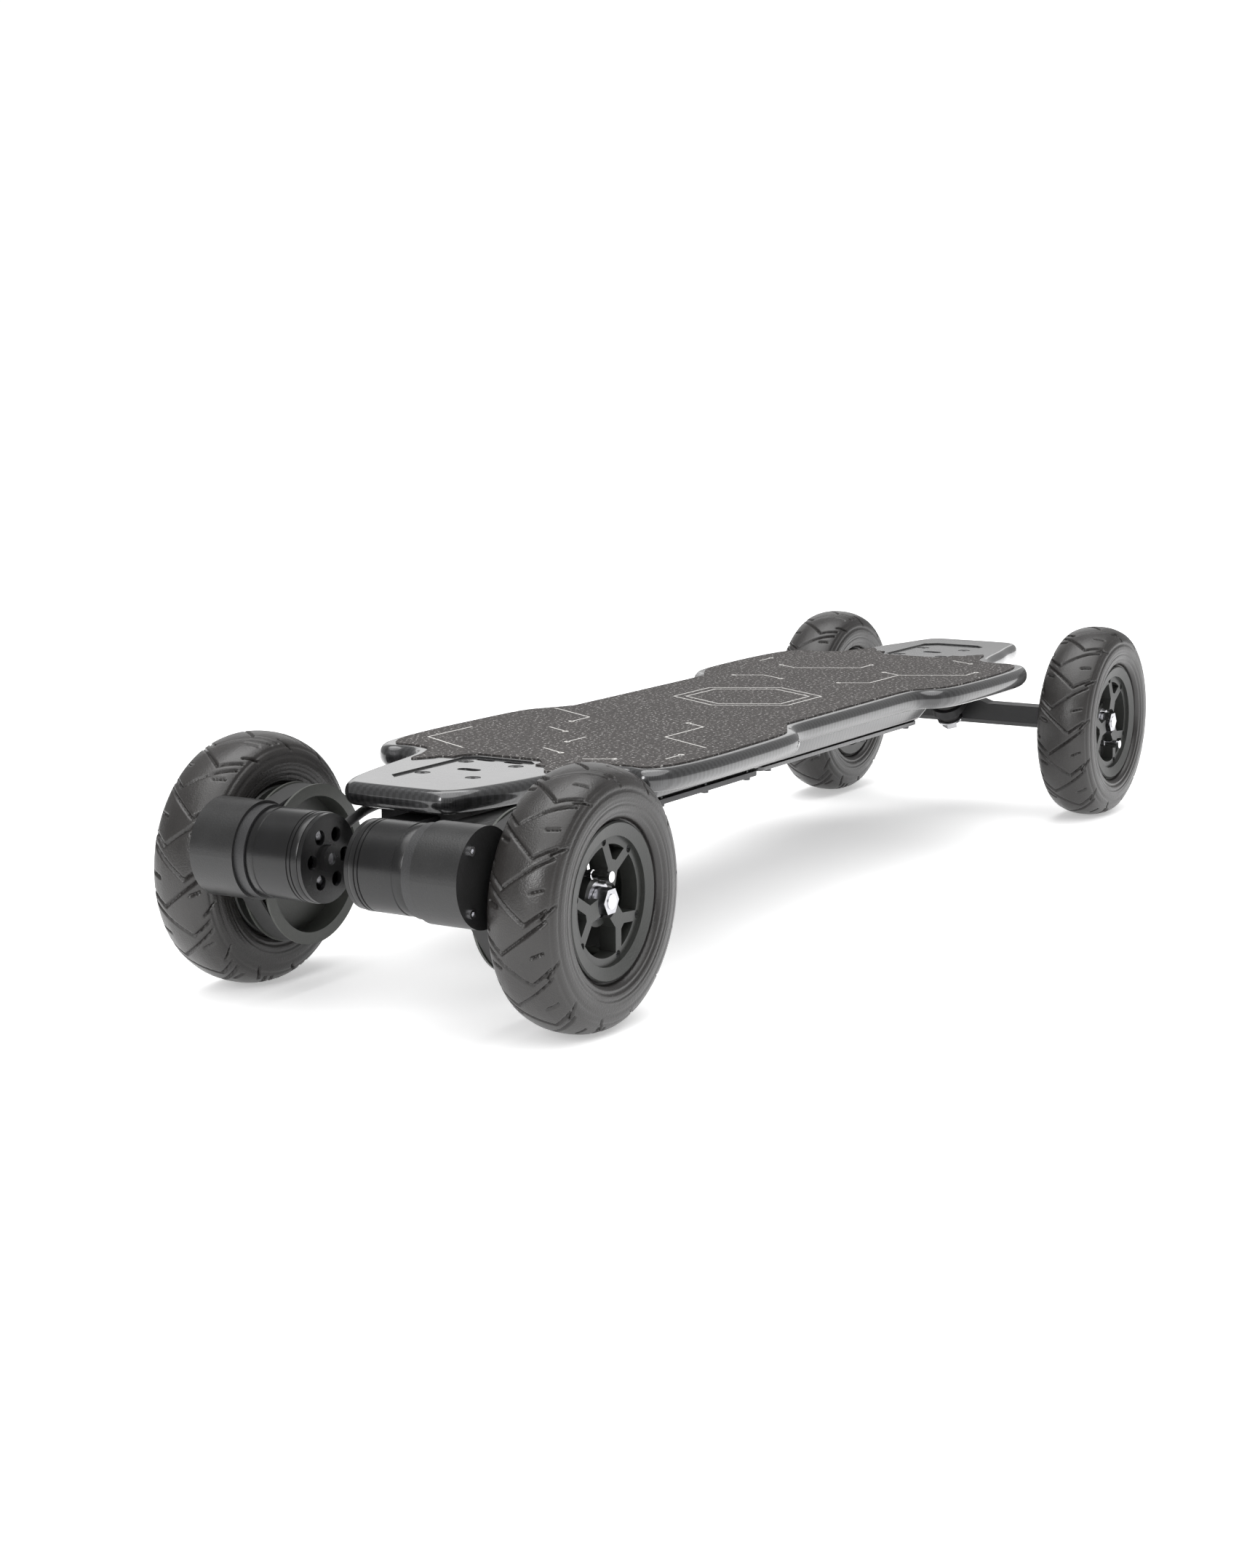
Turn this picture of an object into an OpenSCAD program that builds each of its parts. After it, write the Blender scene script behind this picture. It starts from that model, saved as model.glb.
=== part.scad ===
// Electric skateboard: a carbon deck with a battery belly, two leaning trucks,
// four air-tyred wheels and a belt drive to each rear wheel.
// X points forward, Y to the left, Z up, in millimetres. The tyres stand on z = 0
// and the origin is below the middle of the overall box.

/* [Overall] */
// Distance between the front and rear axles
wheelbase = 905; // [760:5:1090]
// Distance between the left and right wheel centre planes
track = 268; // [244:2:322]
// Outer diameter of the air tyres
tyre_diameter = 175; // [160:1:210]
// Width of the tyres
tyre_width = 52; // [44:1:60]

/* [Deck] */
// Half of the deck's width at the wings
wing_half_width = 128; // [116:1:140]
// Half of the deck's width between the wings
waist_half_width = 104; // [102:1:112]
// Thickness of the deck plate
deck_thickness = 16; // [13:0.5:20]
// How far the nose reaches past the front axle
nose_overhang = 36; // [30:1:60]
// How far the tail reaches past the rear axle
tail_overhang = 23; // [14:1:26]
// Thickness of the grip sheet
grip_thickness = 1; // [0.8:0.1:2]

/* [Trucks] */
// Slope of the steering axis above the horizontal
steer_slope = 28; // [22:1:34]
// Thickness of the riser pads under the deck
riser_thickness = 7.5; // [6:0.5:9]
// Diameter of the wheel axles
axle_diameter = 10; // [8:0.5:12]
// Diameter of the kingpins
kingpin_diameter = 10; // [8:0.5:10]

/* [Drive] */
// Distance from the rear axle back to the motor shafts
motor_back = 71; // [68:1:76]
// Height of the motor shafts above the rear axle
motor_rise = 23; // [16:1:26]
// Diameter of the motor cans
can_diameter = 60; // [50:1:62]
// Width of the drive belts
belt_width = 15; // [12:1:16]

/* [Hidden] */
$fn = 96;
running = 0.05;
gap = 0.35;
axle_x = wheelbase / 2;
axle_z = tyre_diameter / 2;
wheel_y = track / 2;
guard_r = 33;
front_reach = axle_x + tyre_diameter / 2;
rear_reach = axle_x + motor_back + guard_r;
x_shift = (rear_reach - front_reach) / 2;

plate_top = axle_z + 33 + riser_thickness;
deck_bottom = plate_top + riser_thickness;
deck_top = deck_bottom + deck_thickness;

carbon = [0.12, 0.12, 0.13];
grit = [0.22, 0.21, 0.20];
black = [0.08, 0.08, 0.08];
rubber_black = [0.14, 0.13, 0.13];
metal_black = [0.16, 0.16, 0.17];
steel = [0.72, 0.72, 0.74];
amber = [0.75, 0.5, 0.2];

// ---- helpers ----

function mix3(a, b, c, d, t) =
  0.5 * (2 * b + (c - a) * t + (2 * a - 5 * b + 4 * c - d) * t * t + (3 * b - a - 3 * c + d) * t * t * t);

function loop_curve(p, steps) =
  let (n = len(p))
  [for (i = [0 : n - 1]) for (s = [0 : steps - 1])
    mix3(p[(i + n - 1) % n], p[i], p[(i + 1) % n], p[(i + 2) % n], s / steps)];

function open_curve(p, steps) =
  let (n = len(p))
  [for (i = [0 : n - 2]) for (s = [0 : steps - (i == n - 2 ? 0 : 1)])
    mix3(p[max(i - 1, 0)], p[i], p[i + 1], p[min(i + 2, n - 1)], s / steps)];

function unit(v) = v / norm(v);

// Moves each point of a counter-clockwise loop inwards by d
function inset(p, d) =
  let (n = len(p))
  [for (i = [0 : n - 1])
    let (t = unit(p[(i + 1) % n] - p[(i + n - 1) % n]))
    p[i] + d * [-t[1], t[0]]];

function mirrored_loop(half) =
  concat(half, [for (i = [len(half) - 1 : -1 : 0]) [half[i][0], -half[i][1]]]);

// A solid from rings of equal point counts, closed by a face at each end
module ring_solid(rings) {
  n = len(rings[0]);
  m = len(rings);
  sides = [for (j = [0 : m - 2]) for (i = [0 : n - 1])
    let (a = j * n + i, b = j * n + (i + 1) % n)
    each [[a, b + n, b], [a, a + n, b + n]]];
  first = [for (i = [0 : n - 1]) i];
  last = [for (i = [n - 1 : -1 : 0]) (m - 1) * n + i];
  polyhedron(points = [for (r = rings) each r], faces = concat(sides, [first, last]), convexity = 6);
}

module place() {
  translate([x_shift, 0, 0])
    children();
}

// ---- deck outline ----

nose_tip = axle_x + nose_overhang;
tail_tip = axle_x + tail_overhang;
wing_tip = axle_x - tyre_diameter / 2 - 31;
wing = wing_half_width;
waist = waist_half_width;

// Left edge from the nose to the tail, each end drawn outwards from its own axle
function end_edge(tip, wing_end) = [
  [tip, 28], [tip - 4, 41], [tip - 16, 49], [axle_x - 12, 55], [axle_x - 40, 61],
  [axle_x - 70, 66], [axle_x - 97, 72], [axle_x - 116, 82], [wing_tip - 1, 95],
  [wing_tip + 1, 108], [wing_tip - 9, 119], [wing_tip - 30, wing - 3],
  [wing_tip - 70, wing], [wing_tip - 120, wing], [wing_end + 35, wing - 3],
  [wing_end + 12, waist + 0.66 * (wing - 3 - waist)], [wing_end, waist + 4], [wing_end - 20, waist]];

front_edge = end_edge(nose_tip, 0.285 * axle_x);
rear_edge = end_edge(tail_tip, 0.235 * axle_x);
left_edge = concat(front_edge, [[40, waist], [-40, waist]],
  [for (i = [len(rear_edge) - 1 : -1 : 0]) [-rear_edge[i][0], rear_edge[i][1]]]);
deck_outline = loop_curve(mirrored_loop(left_edge), 2);

// Each layer of the rounded rim: how far it is set in, and the part of the thickness left off each face
rim_layers = [[0, 0.3], [0.8, 0.16], [2.4, 0.06], [5.2, 0]];

module deck_plate() {
  for (layer = rim_layers)
    translate([0, 0, deck_bottom + layer[1] * deck_thickness])
      linear_extrude((1 - 2 * layer[1]) * deck_thickness)
        polygon(inset(deck_outline, layer[0]));
}

// ---- belly ----

belly_front = 0.42 * axle_x;
belly_rear = 0.64 * axle_x;
belly_top_half = waist - 10;
belly_low_half = waist - 13;
belly_z = deck_bottom - 13.5;
lid_split = 0.285 * axle_x;
belly_nose_run = 34;
bay_half = waist - 22;
bay_roof = deck_top - 6;
wall = 8;

module belly_prism(low, high, low_half, high_half, front, rear, slope) {
  h = high - low;
  intersection() {
    translate([-rear, 0, low])
      rotate([90, 0, 90])
        linear_extrude(front + rear)
          polygon([[-low_half, 0], [low_half, 0], [high_half, h], [-high_half, h]]);
    translate([0, waist * 2, 0])
      rotate([90, 0, 0])
        linear_extrude(waist * 4)
          polygon([[-rear - 1, low - 1], [front - slope, low], [front, high], [front, high + 1], [-rear - 1, high + 1]]);
  }
}

battery_bay = [-lid_split + wall, belly_front - belly_nose_run - wall];
controller_bay = [-belly_rear + wall, -lid_split - wall];
lid_screw_places = concat(
  [for (x = [battery_bay[0] + 10 : (battery_bay[1] - battery_bay[0] - 20) / 3 : battery_bay[1] - 9]) x],
  [for (x = [controller_bay[0] + 8 : (controller_bay[1] - controller_bay[0] - 16) / 2 : controller_bay[1] - 7]) x]);
screw_y = bay_half + 5;
screw_r = 1.5;

bolt_x = [axle_x - 94, axle_x - 41];
bolt_y = 20.6;
bolt_r = 2.5;
head_recess = 5;
panel_depth = 1.2;
seat_depth = 0.6;

socket_z = belly_z + 6.9;
socket_y = 30;
button_y = -30;
socket_r = 4.4;
button_r = 5;

module panel_recess() {
  translate([0, 0, deck_top - panel_depth])
    linear_extrude(panel_depth + 1)
      polygon([
        [axle_x - 112, 22], [axle_x - 104, 30], [axle_x - 18, 30], [axle_x - 8, 20],
        [axle_x - 8, -20], [axle_x - 18, -30], [axle_x - 104, -30], [axle_x - 112, -22]]);
}

// Shallow pocket under the deck that keeps a riser pad in line
module riser_seat() {
  translate([axle_x - 120 - gap, -plate_half - 2 - gap, deck_bottom - 1])
    cube([108 + 2 * gap, 2 * plate_half + 4 + 2 * gap, 1 + seat_depth]);
}

module at_truck_bolts() {
  for (end = [1, -1], x = bolt_x, y = [bolt_y, -bolt_y])
    translate([end * x, y, 0])
      children();
}

module deck_shell() {
  color(carbon)
    place()
      difference() {
        union() {
          deck_plate();
          belly_prism(belly_z, deck_bottom + 3, belly_low_half, belly_top_half, belly_front, belly_rear, belly_nose_run);
        }
        for (bay = [battery_bay, controller_bay])
          translate([bay[0], -bay_half, belly_z - 1])
            cube([bay[1] - bay[0], 2 * bay_half, bay_roof - belly_z + 1]);
        ends() {
          panel_recess();
          riser_seat();
        }
        at_truck_bolts() {
          translate([0, 0, deck_bottom - 1])
            cylinder(h = deck_thickness + 2, r = bolt_r);
          translate([0, 0, deck_top - head_recess])
            cylinder(h = head_recess + 1, r = 5.5);
        }
        for (x = lid_screw_places, y = [screw_y, -screw_y])
          translate([x, y, belly_z - 1])
            cylinder(h = 9, r = screw_r, $fn = 24);
        translate([-belly_rear - 1, socket_y, socket_z])
          rotate([0, 90, 0])
            cylinder(h = wall + 2, r = socket_r + 1.5);
        translate([-belly_rear - 1, button_y, socket_z])
          rotate([0, 90, 0])
            cylinder(h = wall + 2, r = button_r);
      }
}

// The sheet stops short of both tips, with a small claw each side of the bare truck panels
grip_inset = 9;
grip_edge = concat(
  [[axle_x - 98, 36], [axle_x - 90, 46], [axle_x - 78, 54], [axle_x - 82, 58],
   [axle_x - 100, 62], [axle_x - 122, 73], [wing_tip - 10, 90], [wing_tip - 9, 102], [wing_tip - 17, 110],
   [wing_tip - 36, wing - grip_inset - 3], [wing_tip - 72, wing - grip_inset], [wing_tip - 120, wing - grip_inset],
   [0.285 * axle_x + 36, wing - grip_inset - 3], [0.285 * axle_x + 10, 0.5 * (wing + waist) - grip_inset - 1],
   [0.285 * axle_x - 8, waist - grip_inset + 2], [80, waist - grip_inset]],
  [[-80, waist - grip_inset], [-0.235 * axle_x + 8, waist - grip_inset + 2],
   [-0.235 * axle_x - 10, 0.5 * (wing + waist) - grip_inset - 1], [-0.235 * axle_x - 36, wing - grip_inset - 3],
   [-wing_tip + 120, wing - grip_inset], [-wing_tip + 72, wing - grip_inset], [-wing_tip + 36, wing - grip_inset - 3],
   [-wing_tip + 17, 110], [-wing_tip + 9, 102], [-wing_tip + 10, 90], [-axle_x + 122, 73], [-axle_x + 100, 62],
   [-axle_x + 82, 58], [-axle_x + 78, 54], [-axle_x + 90, 46], [-axle_x + 98, 36]]);

module panel_opening() {
  polygon([
    [axle_x - 118, 25], [axle_x - 107, 34], [axle_x + 30, 34], [axle_x + 30, -34],
    [axle_x - 107, -34], [axle_x - 118, -25]]);
}

module grip_tape() {
  color(grit)
    place()
      translate([0, 0, deck_top])
        linear_extrude(grip_thickness)
          difference() {
            polygon(loop_curve(mirrored_loop(grip_edge), 2));
            panel_opening();
            mirror([1, 0, 0])
              panel_opening();
          }
}

lid_thickness = 4;
seal_thickness = 1;

module lid_holes(places, from) {
  for (x = places, y = [screw_y, -screw_y])
    translate([x, y, from - 1])
      cylinder(h = lid_thickness + 2, r = screw_r, $fn = 24);
}

module battery_lid() {
  color(carbon)
    place()
      difference() {
        belly_prism(belly_z - 3, belly_z, belly_low_half - 5, belly_low_half - 3,
          belly_front - belly_nose_run - 1, lid_split - 2, 6);
        lid_holes([for (i = [0 : 3]) lid_screw_places[i]], belly_z - 3);
      }
}

module controller_lid() {
  color(metal_black)
    place()
      difference() {
        belly_prism(belly_z - lid_thickness - seal_thickness, belly_z - seal_thickness,
          belly_low_half - 7, belly_low_half - 3, -lid_split - 2, belly_rear - 2, 6);
        lid_holes([for (i = [4 : 6]) lid_screw_places[i]], belly_z - lid_thickness - seal_thickness);
      }
}

module lid_seal() {
  color(rubber_black)
    place()
      translate([-belly_rear + 3, 0, belly_z - seal_thickness])
        linear_extrude(seal_thickness)
          difference() {
            translate([0, -belly_low_half + 5])
              square([belly_rear - lid_split - 6, 2 * belly_low_half - 10]);
            translate([wall - 3, -bay_half])
              square([belly_rear - lid_split - 2 * wall, 2 * bay_half]);
            for (i = [4 : 6], y = [screw_y, -screw_y])
              translate([lid_screw_places[i] + belly_rear - 3, y])
                circle(r = screw_r, $fn = 24);
          }
}

module lid_screws() {
  color(steel)
    place()
      for (i = [0 : 6], y = [screw_y, -screw_y]) {
        low = i < 4 ? belly_z - 3 : belly_z - lid_thickness - seal_thickness;
        translate([lid_screw_places[i], y, low - 1.6])
          difference() {
            union() {
              cylinder(h = 1.6, r = 2.8, $fn = 24);
              cylinder(h = 11, r = screw_r, $fn = 24);
            }
            translate([0, 0, -0.1])
              cylinder(h = 1.1, r = 1.1, $fn = 6);
          }
      }
}

cell_r = 9.2;
cell_length = 65;
cell_rows = floor((battery_bay[1] - battery_bay[0] - 34) / (2 * cell_r + 0.4));

module battery_cells() {
  color(amber)
    place()
      for (i = [0 : cell_rows - 1], side = [-1, 1])
        translate([battery_bay[0] + 12 + i * (2 * cell_r + 0.4), side * (cell_length / 2 + 1), bay_roof - cell_r - 0.6])
          rotate([90, 0, 0])
            cylinder(h = cell_length, r = cell_r, center = true, $fn = 48);
}

module battery_board() {
  color([0.1, 0.35, 0.2])
    place()
      translate([battery_bay[1] - 22, -50, bay_roof - 12])
        cube([18, 100, 5]);
}

module motor_controllers() {
  color(metal_black)
    place()
      for (side = [-1, 1])
        translate([controller_bay[0] + 26, side * 38 - 32, bay_roof - 16])
          difference() {
            cube([92, 64, 15]);
            for (i = [0 : 5])
              translate([6 + i * 14, -1, -1])
                cube([6, 66, 5]);
          }
}

module charge_socket() {
  color(black)
    place()
      translate([-belly_rear, socket_y, socket_z])
        rotate([0, 90, 0])
          difference() {
            cylinder(h = wall + 4, r = socket_r + 1.5);
            translate([0, 0, -1])
              cylinder(h = wall + 1, r = socket_r - 1);
          }
}

module socket_plug() {
  color(rubber_black)
    place()
      translate([-belly_rear, socket_y, socket_z])
        rotate([0, 90, 0]) {
          translate([0, 0, -3])
            cylinder(h = 3 - gap, r = socket_r + 1.2);
          translate([0, 0, -1])
            cylinder(h = 6, r = socket_r - 1 - running);
        }
}

module power_button() {
  color(steel)
    place()
      translate([-belly_rear - 2, button_y, socket_z])
        rotate([0, 90, 0])
          cylinder(h = wall, r = button_r - running);
}

// ---- trucks, drawn at the front and mirrored to the rear ----

module ends() {
  children();
  mirror([1, 0, 0])
    children();
}

module at_axle() {
  translate([axle_x, 0, axle_z])
    children();
}

kingpin_x = -28.5;
kingpin_z = 6.5;
ring_half = 3.5;
upper_bushing = 10;
lower_bushing = 8;
washer = 1.5;
pivot_start = 38;
pivot_end = 54;
stem_r = 6;
plate_half = 36;
plate_low = plate_top - axle_z - 10;
plate_high = plate_top - axle_z;

// Steering frame: X runs up along the steering axis, Z up along the kingpin
module at_kingpin() {
  at_axle()
    translate([kingpin_x, 0, kingpin_z])
      rotate([0, -steer_slope, 0])
        children();
}

module riser_pads() {
  color(rubber_black)
    place()
      ends()
        difference() {
          translate([axle_x - 120, -plate_half - 2, plate_top])
            cube([108, 2 * plate_half + 4, riser_thickness + seat_depth]);
          for (x = bolt_x, y = [bolt_y, -bolt_y])
            translate([x, y, plate_top - 1])
              cylinder(h = riser_thickness + 9, r = bolt_r);
        }
}

module truck_bolts() {
  color(metal_black)
    place()
      at_truck_bolts() {
        translate([0, 0, deck_top - head_recess])
          difference() {
            cylinder(h = 3.5, r = 5);
            translate([0, 0, 1.6])
              cylinder(h = 3, r = 2, $fn = 6);
          }
        translate([0, 0, plate_top - 18])
          cylinder(h = deck_top - head_recess - plate_top + 18, r = bolt_r);
        translate([0, 0, plate_top - 15])
          cylinder(h = 5, r = 4.6, $fn = 6);
      }
}

module baseplate() {
  difference() {
    union() {
      at_axle()
        translate([-120, -plate_half, plate_low])
          cube([106, 2 * plate_half, 10]);
      at_axle()
        translate([-16, -12, plate_low])
          cube([38, 24, 10]);
      at_kingpin()
        translate([0, 0, ring_half + upper_bushing + washer])
          cylinder(h = 24, r = 16);
      at_kingpin()
        translate([pivot_start, 0, 0])
          rotate([0, 90, 0])
            cylinder(h = pivot_end - pivot_start + 3, r = 12);
      at_kingpin()
        translate([pivot_start, -5, 0])
          cube([pivot_end - pivot_start - 2, 10, 16]);
    }
    at_axle()
      translate([-130, -60, plate_high])
        cube([200, 120, 40]);
    for (x = bolt_x, y = [bolt_y, -bolt_y])
      translate([x, y, plate_top - 11])
        cylinder(h = 12, r = bolt_r);
    at_kingpin() {
      cylinder(h = 60, r = kingpin_diameter / 2);
      translate([0, 0, 29])
        cylinder(h = 20, r = 9.4, $fn = 6);
      translate([pivot_start - 1, 0, 0])
        rotate([0, 90, 0])
          cylinder(h = pivot_end - pivot_start + 1, r = 9);
    }
  }
}

module baseplate_front() {
  color(metal_black)
    place()
      baseplate();
}

module baseplate_rear() {
  color(metal_black)
    place()
      mirror([1, 0, 0])
        baseplate();
}

module kingpins() {
  color(metal_black)
    place()
      ends()
        at_kingpin() {
          translate([0, 0, -ring_half - lower_bushing - washer - 8.5])
            cylinder(h = ring_half + lower_bushing + washer + 8.5 + 29, r = kingpin_diameter / 2);
          translate([0, 0, 29])
            cylinder(h = 5, r = 9.2, $fn = 6);
        }
}

module kingpin_nuts() {
  color(steel)
    place()
      ends()
        at_kingpin()
          difference() {
            union() {
              translate([0, 0, -ring_half - lower_bushing - washer - 7])
                cylinder(h = 7, r = 8.6, $fn = 6);
              for (z = [ring_half + upper_bushing, -ring_half - lower_bushing - washer])
                translate([0, 0, z])
                  cylinder(h = washer, r = 12);
            }
            cylinder(h = 60, r = kingpin_diameter / 2, center = true);
          }
}

module bushing_pair() {
  at_kingpin() {
    translate([0, 0, ring_half + running])
      difference() {
        cylinder(h = upper_bushing - running, r = 12);
        translate([0, 0, -1])
          cylinder(h = upper_bushing + 2, r = kingpin_diameter / 2);
      }
    translate([0, 0, -ring_half - lower_bushing])
      difference() {
        cylinder(h = lower_bushing - running, r = 11);
        translate([0, 0, -1])
          cylinder(h = lower_bushing + 2, r = kingpin_diameter / 2);
      }
  }
}

module bushings_front() {
  color([0.2, 0.2, 0.2])
    place()
      bushing_pair();
}

module bushings_rear() {
  color([0.2, 0.2, 0.2])
    place()
      mirror([1, 0, 0])
        bushing_pair();
}

module pivot_cups() {
  color(black)
    place()
      ends()
        at_kingpin()
          translate([pivot_start, 0, 0])
            rotate([0, 90, 0])
              difference() {
                cylinder(h = pivot_end - pivot_start, r = 9);
                translate([0, 0, -1])
                  cylinder(h = pivot_end - pivot_start - 1, r = stem_r + running);
              }
}

blade_half = 10;
axle_r = axle_diameter / 2;

module hanger(reach) {
  difference() {
    union() {
      at_axle()
        translate([0, reach, 0])
          rotate([90, 0, 0])
            linear_extrude(2 * reach)
              polygon([
                [-blade_half, blade_half], [-blade_half, -6], [-6, -blade_half],
                [6, -blade_half], [blade_half, -6], [blade_half, blade_half]]);
      at_axle()
        translate([-blade_half, 0, 0])
          rotate([90, 0, 90])
            linear_extrude(2 * blade_half - 3)
              polygon([[-35, blade_half - 1], [35, blade_half - 1], [16, 15.5], [-16, 15.5]]);
      at_axle()
        translate([0, 9, 0])
          rotate([90, 0, 0])
            linear_extrude(18)
              polygon([[-10, 5], [10, 5], [8, 13], [2, 21], [-12, 15]]);
      at_kingpin()
        translate([0, 0, -ring_half])
          cylinder(h = 2 * ring_half, r = 15);
      at_kingpin()
        translate([0, -15, -ring_half])
          cube([24, 30, 2 * ring_half]);
      at_kingpin()
        translate([20, 0, 0])
          rotate([0, 90, 0])
            cylinder(h = pivot_end - 24, r = stem_r);
    }
    at_kingpin()
      translate([0, 0, -ring_half - 1])
        cylinder(h = 2 * ring_half + 2, r = kingpin_diameter / 2 + 1.5);
    at_axle()
      rotate([90, 0, 0])
        cylinder(h = 4 * wheel_y, r = axle_r, center = true);
  }
}

front_blade = wheel_y - 36;
rear_blade = wheel_y - 58;

module hanger_front() {
  color(metal_black)
    place()
      hanger(front_blade);
}

module hanger_rear() {
  color(metal_black)
    place()
      mirror([1, 0, 0])
        hanger(rear_blade);
}

module axle() {
  at_axle()
    rotate([90, 0, 0])
      cylinder(h = 2 * wheel_y + 41, r = axle_r, center = true);
}

module axle_front() {
  color(steel)
    place()
      axle();
}

module axle_rear() {
  color(steel)
    place()
      mirror([1, 0, 0])
        axle();
}

// Distances along the axle from the wheel's centre plane, outwards positive
hub_in = -22;
hub_out = 10;
nut_start = hub_out + 0.35 + 1.5;
nut_length = 8;

module axle_hardware(reach) {
  at_axle()
    for (side = [-90, 90])
      rotate([side, 0, 0])
        difference() {
          union() {
            translate([0, 0, wheel_y + hub_out + gap])
              cylinder(h = 1.5, r = 9);
            translate([0, 0, wheel_y + nut_start])
              cylinder(h = nut_length, r = 9.2, $fn = 6);
            translate([0, 0, reach])
              cylinder(h = wheel_y + hub_in - gap - reach, r = 7.5);
          }
          translate([0, 0, reach - 1])
            cylinder(h = 3 * wheel_y, r = axle_r);
        }
}

module axle_hardware_front() {
  color(steel)
    place()
      axle_hardware(front_blade);
}

module axle_hardware_rear() {
  color(steel)
    place()
      mirror([1, 0, 0])
        axle_hardware(rear_blade);
}

// ---- wheels ----

hub_r = 52;
seat_r = 46;
barrel_r = 42.5;
rim_half = tyre_width / 2 - 4.3;
bearing_r = 13;
bearing_width = 8;
spacer_wall = 2.5;
spoke_phase = 73;
arm_spread = 24;
bolt_ring_r = 39.5;
spoke_in = 5;
spoke_out = 17;
bolt_seat = spoke_out - 4;
arm_width = 7;

// Wheel frame: Z runs outwards along the axle and X stays level
module at_wheel(end, side) {
  translate([end * axle_x, side * wheel_y, axle_z])
    rotate([-90 * side, 0, 0])
      children();
}

module hub_bolt_places(side) {
  for (k = [0 : 2], s = [-1, 1])
    rotate([0, 0, -side * (spoke_phase + 120 * k) + s * arm_spread])
      translate([bolt_ring_r, 0, 0])
        children();
}

module hub(side) {
  difference() {
    union() {
      rotate_extrude()
        polygon([
          [barrel_r, -rim_half], [hub_r - 1, -rim_half], [hub_r, -rim_half + 1], [hub_r, -rim_half + 2.2],
          [seat_r, -rim_half + 2.6], [seat_r, rim_half - 2.6], [hub_r, rim_half - 2.2], [hub_r, rim_half - 1],
          [hub_r - 1, rim_half], [barrel_r, rim_half - 2]]);
      translate([0, 0, hub_in])
        cylinder(h = hub_out - hub_in, r = 17.5);
      translate([0, 0, spoke_in])
        linear_extrude(spoke_out - spoke_in)
          difference() {
            union() {
              difference() {
                circle(r = barrel_r + 1);
                circle(r = 37);
              }
              for (k = [0 : 2])
                rotate(-side * (spoke_phase + 120 * k)) {
                  translate([10, -6])
                    square([17, 12]);
                  for (s = [-1, 1])
                    translate([22, s * 2.5])
                      rotate(s * 42)
                        translate([0, -arm_width / 2])
                          square([22, arm_width]);
                }
            }
            circle(r = 12);
          }
    }
    translate([0, 0, hub_in - 1])
      cylinder(h = hub_out - hub_in + 2, r = bearing_r - 1.5);
    translate([0, 0, hub_in - 1])
      cylinder(h = bearing_width + 1, r = bearing_r);
    translate([0, 0, hub_out - bearing_width])
      cylinder(h = bearing_width + 1, r = bearing_r);
    hub_bolt_places(side) {
      translate([0, 0, spoke_in - 1])
        cylinder(h = spoke_out - spoke_in + 2, r = 1.5, $fn = 24);
      translate([0, 0, bolt_seat])
        cylinder(h = spoke_out - bolt_seat + 1, r = 2.6, $fn = 24);
    }
  }
}

module hub_bolts(side) {
  hub_bolt_places(side)
    difference() {
      union() {
        translate([0, 0, spoke_in])
          cylinder(h = bolt_seat - spoke_in, r = 1.5, $fn = 24);
        translate([0, 0, bolt_seat])
          cylinder(h = 2.4, r = 2.5, $fn = 24);
      }
      translate([0, 0, bolt_seat + 1.2])
        cylinder(h = 2, r = 1.3, $fn = 6);
    }
}

module bearings() {
  for (z = [hub_in, hub_out - bearing_width])
    translate([0, 0, z])
      difference() {
        cylinder(h = bearing_width, r = bearing_r);
        translate([0, 0, -1])
          cylinder(h = bearing_width + 2, r = axle_r + running);
      }
  translate([0, 0, hub_in + bearing_width])
    difference() {
      cylinder(h = hub_out - hub_in - 2 * bearing_width, r = axle_r + spacer_wall);
      translate([0, 0, -1])
        cylinder(h = hub_out - hub_in, r = axle_r + running);
    }
}

module tyre() {
  r = tyre_diameter / 2;
  w = tyre_width / 2;
  bead = rim_half - 2.7;
  rotate_extrude($fn = 128)
    polygon([
      [seat_r, -bead], [hub_r + 1.2, -bead], [hub_r + 3, -w + 2.6], [hub_r + 9, -w + 0.6], [hub_r + 15, -w],
      [r - 11, -w + 1.6], [r - 5, -w + 6], [r - 1.4, -w + 14], [r, -4], [r, 4], [r - 1.4, w - 14],
      [r - 5, w - 6], [r - 11, w - 1.6], [hub_r + 15, w], [hub_r + 9, w - 0.6], [hub_r + 3, w - 2.6],
      [hub_r + 1.2, bead], [seat_r, bead], [seat_r, bead - 6], [hub_r + 2, bead - 5], [hub_r + 8, w - 6.5],
      [hub_r + 16, w - 6], [r - 12, w - 9], [r - 7.5, w - 17], [r - 7, 0], [r - 7.5, -w + 17], [r - 12, -w + 9],
      [hub_r + 16, -w + 6], [hub_r + 8, -w + 6.5], [hub_r + 2, -bead + 5], [seat_r, -bead + 6]]);
}

// Bent stem: in from the rim, then outwards beside the axle nut
module valve(angle) {
  rotate([0, 0, angle]) {
    translate([21, 0, spoke_in - 3])
      rotate([0, 90, 0])
        cylinder(h = barrel_r - 21.2, r = 2.2, $fn = 32);
    translate([21, 0, spoke_in - 6])
      cylinder(h = 19, r = 2.6, $fn = 32);
    translate([21, 0, 18])
      cylinder(h = 8, r = 3.6, $fn = 32);
    translate([21, 0, 9])
      cylinder(h = 3, r = 3.2, $fn = 32);
  }
}

valve_high = 118;
valve_low = 278;

module hub_front_left() {
  color(black)
    place()
      at_wheel(1, 1)
        hub(1);
}

module hub_front_right() {
  color(black)
    place()
      at_wheel(1, -1)
        hub(-1);
}

module hub_rear_left() {
  color(black)
    place()
      at_wheel(-1, 1)
        hub(1);
}

module hub_rear_right() {
  color(black)
    place()
      at_wheel(-1, -1)
        hub(-1);
}

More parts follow.
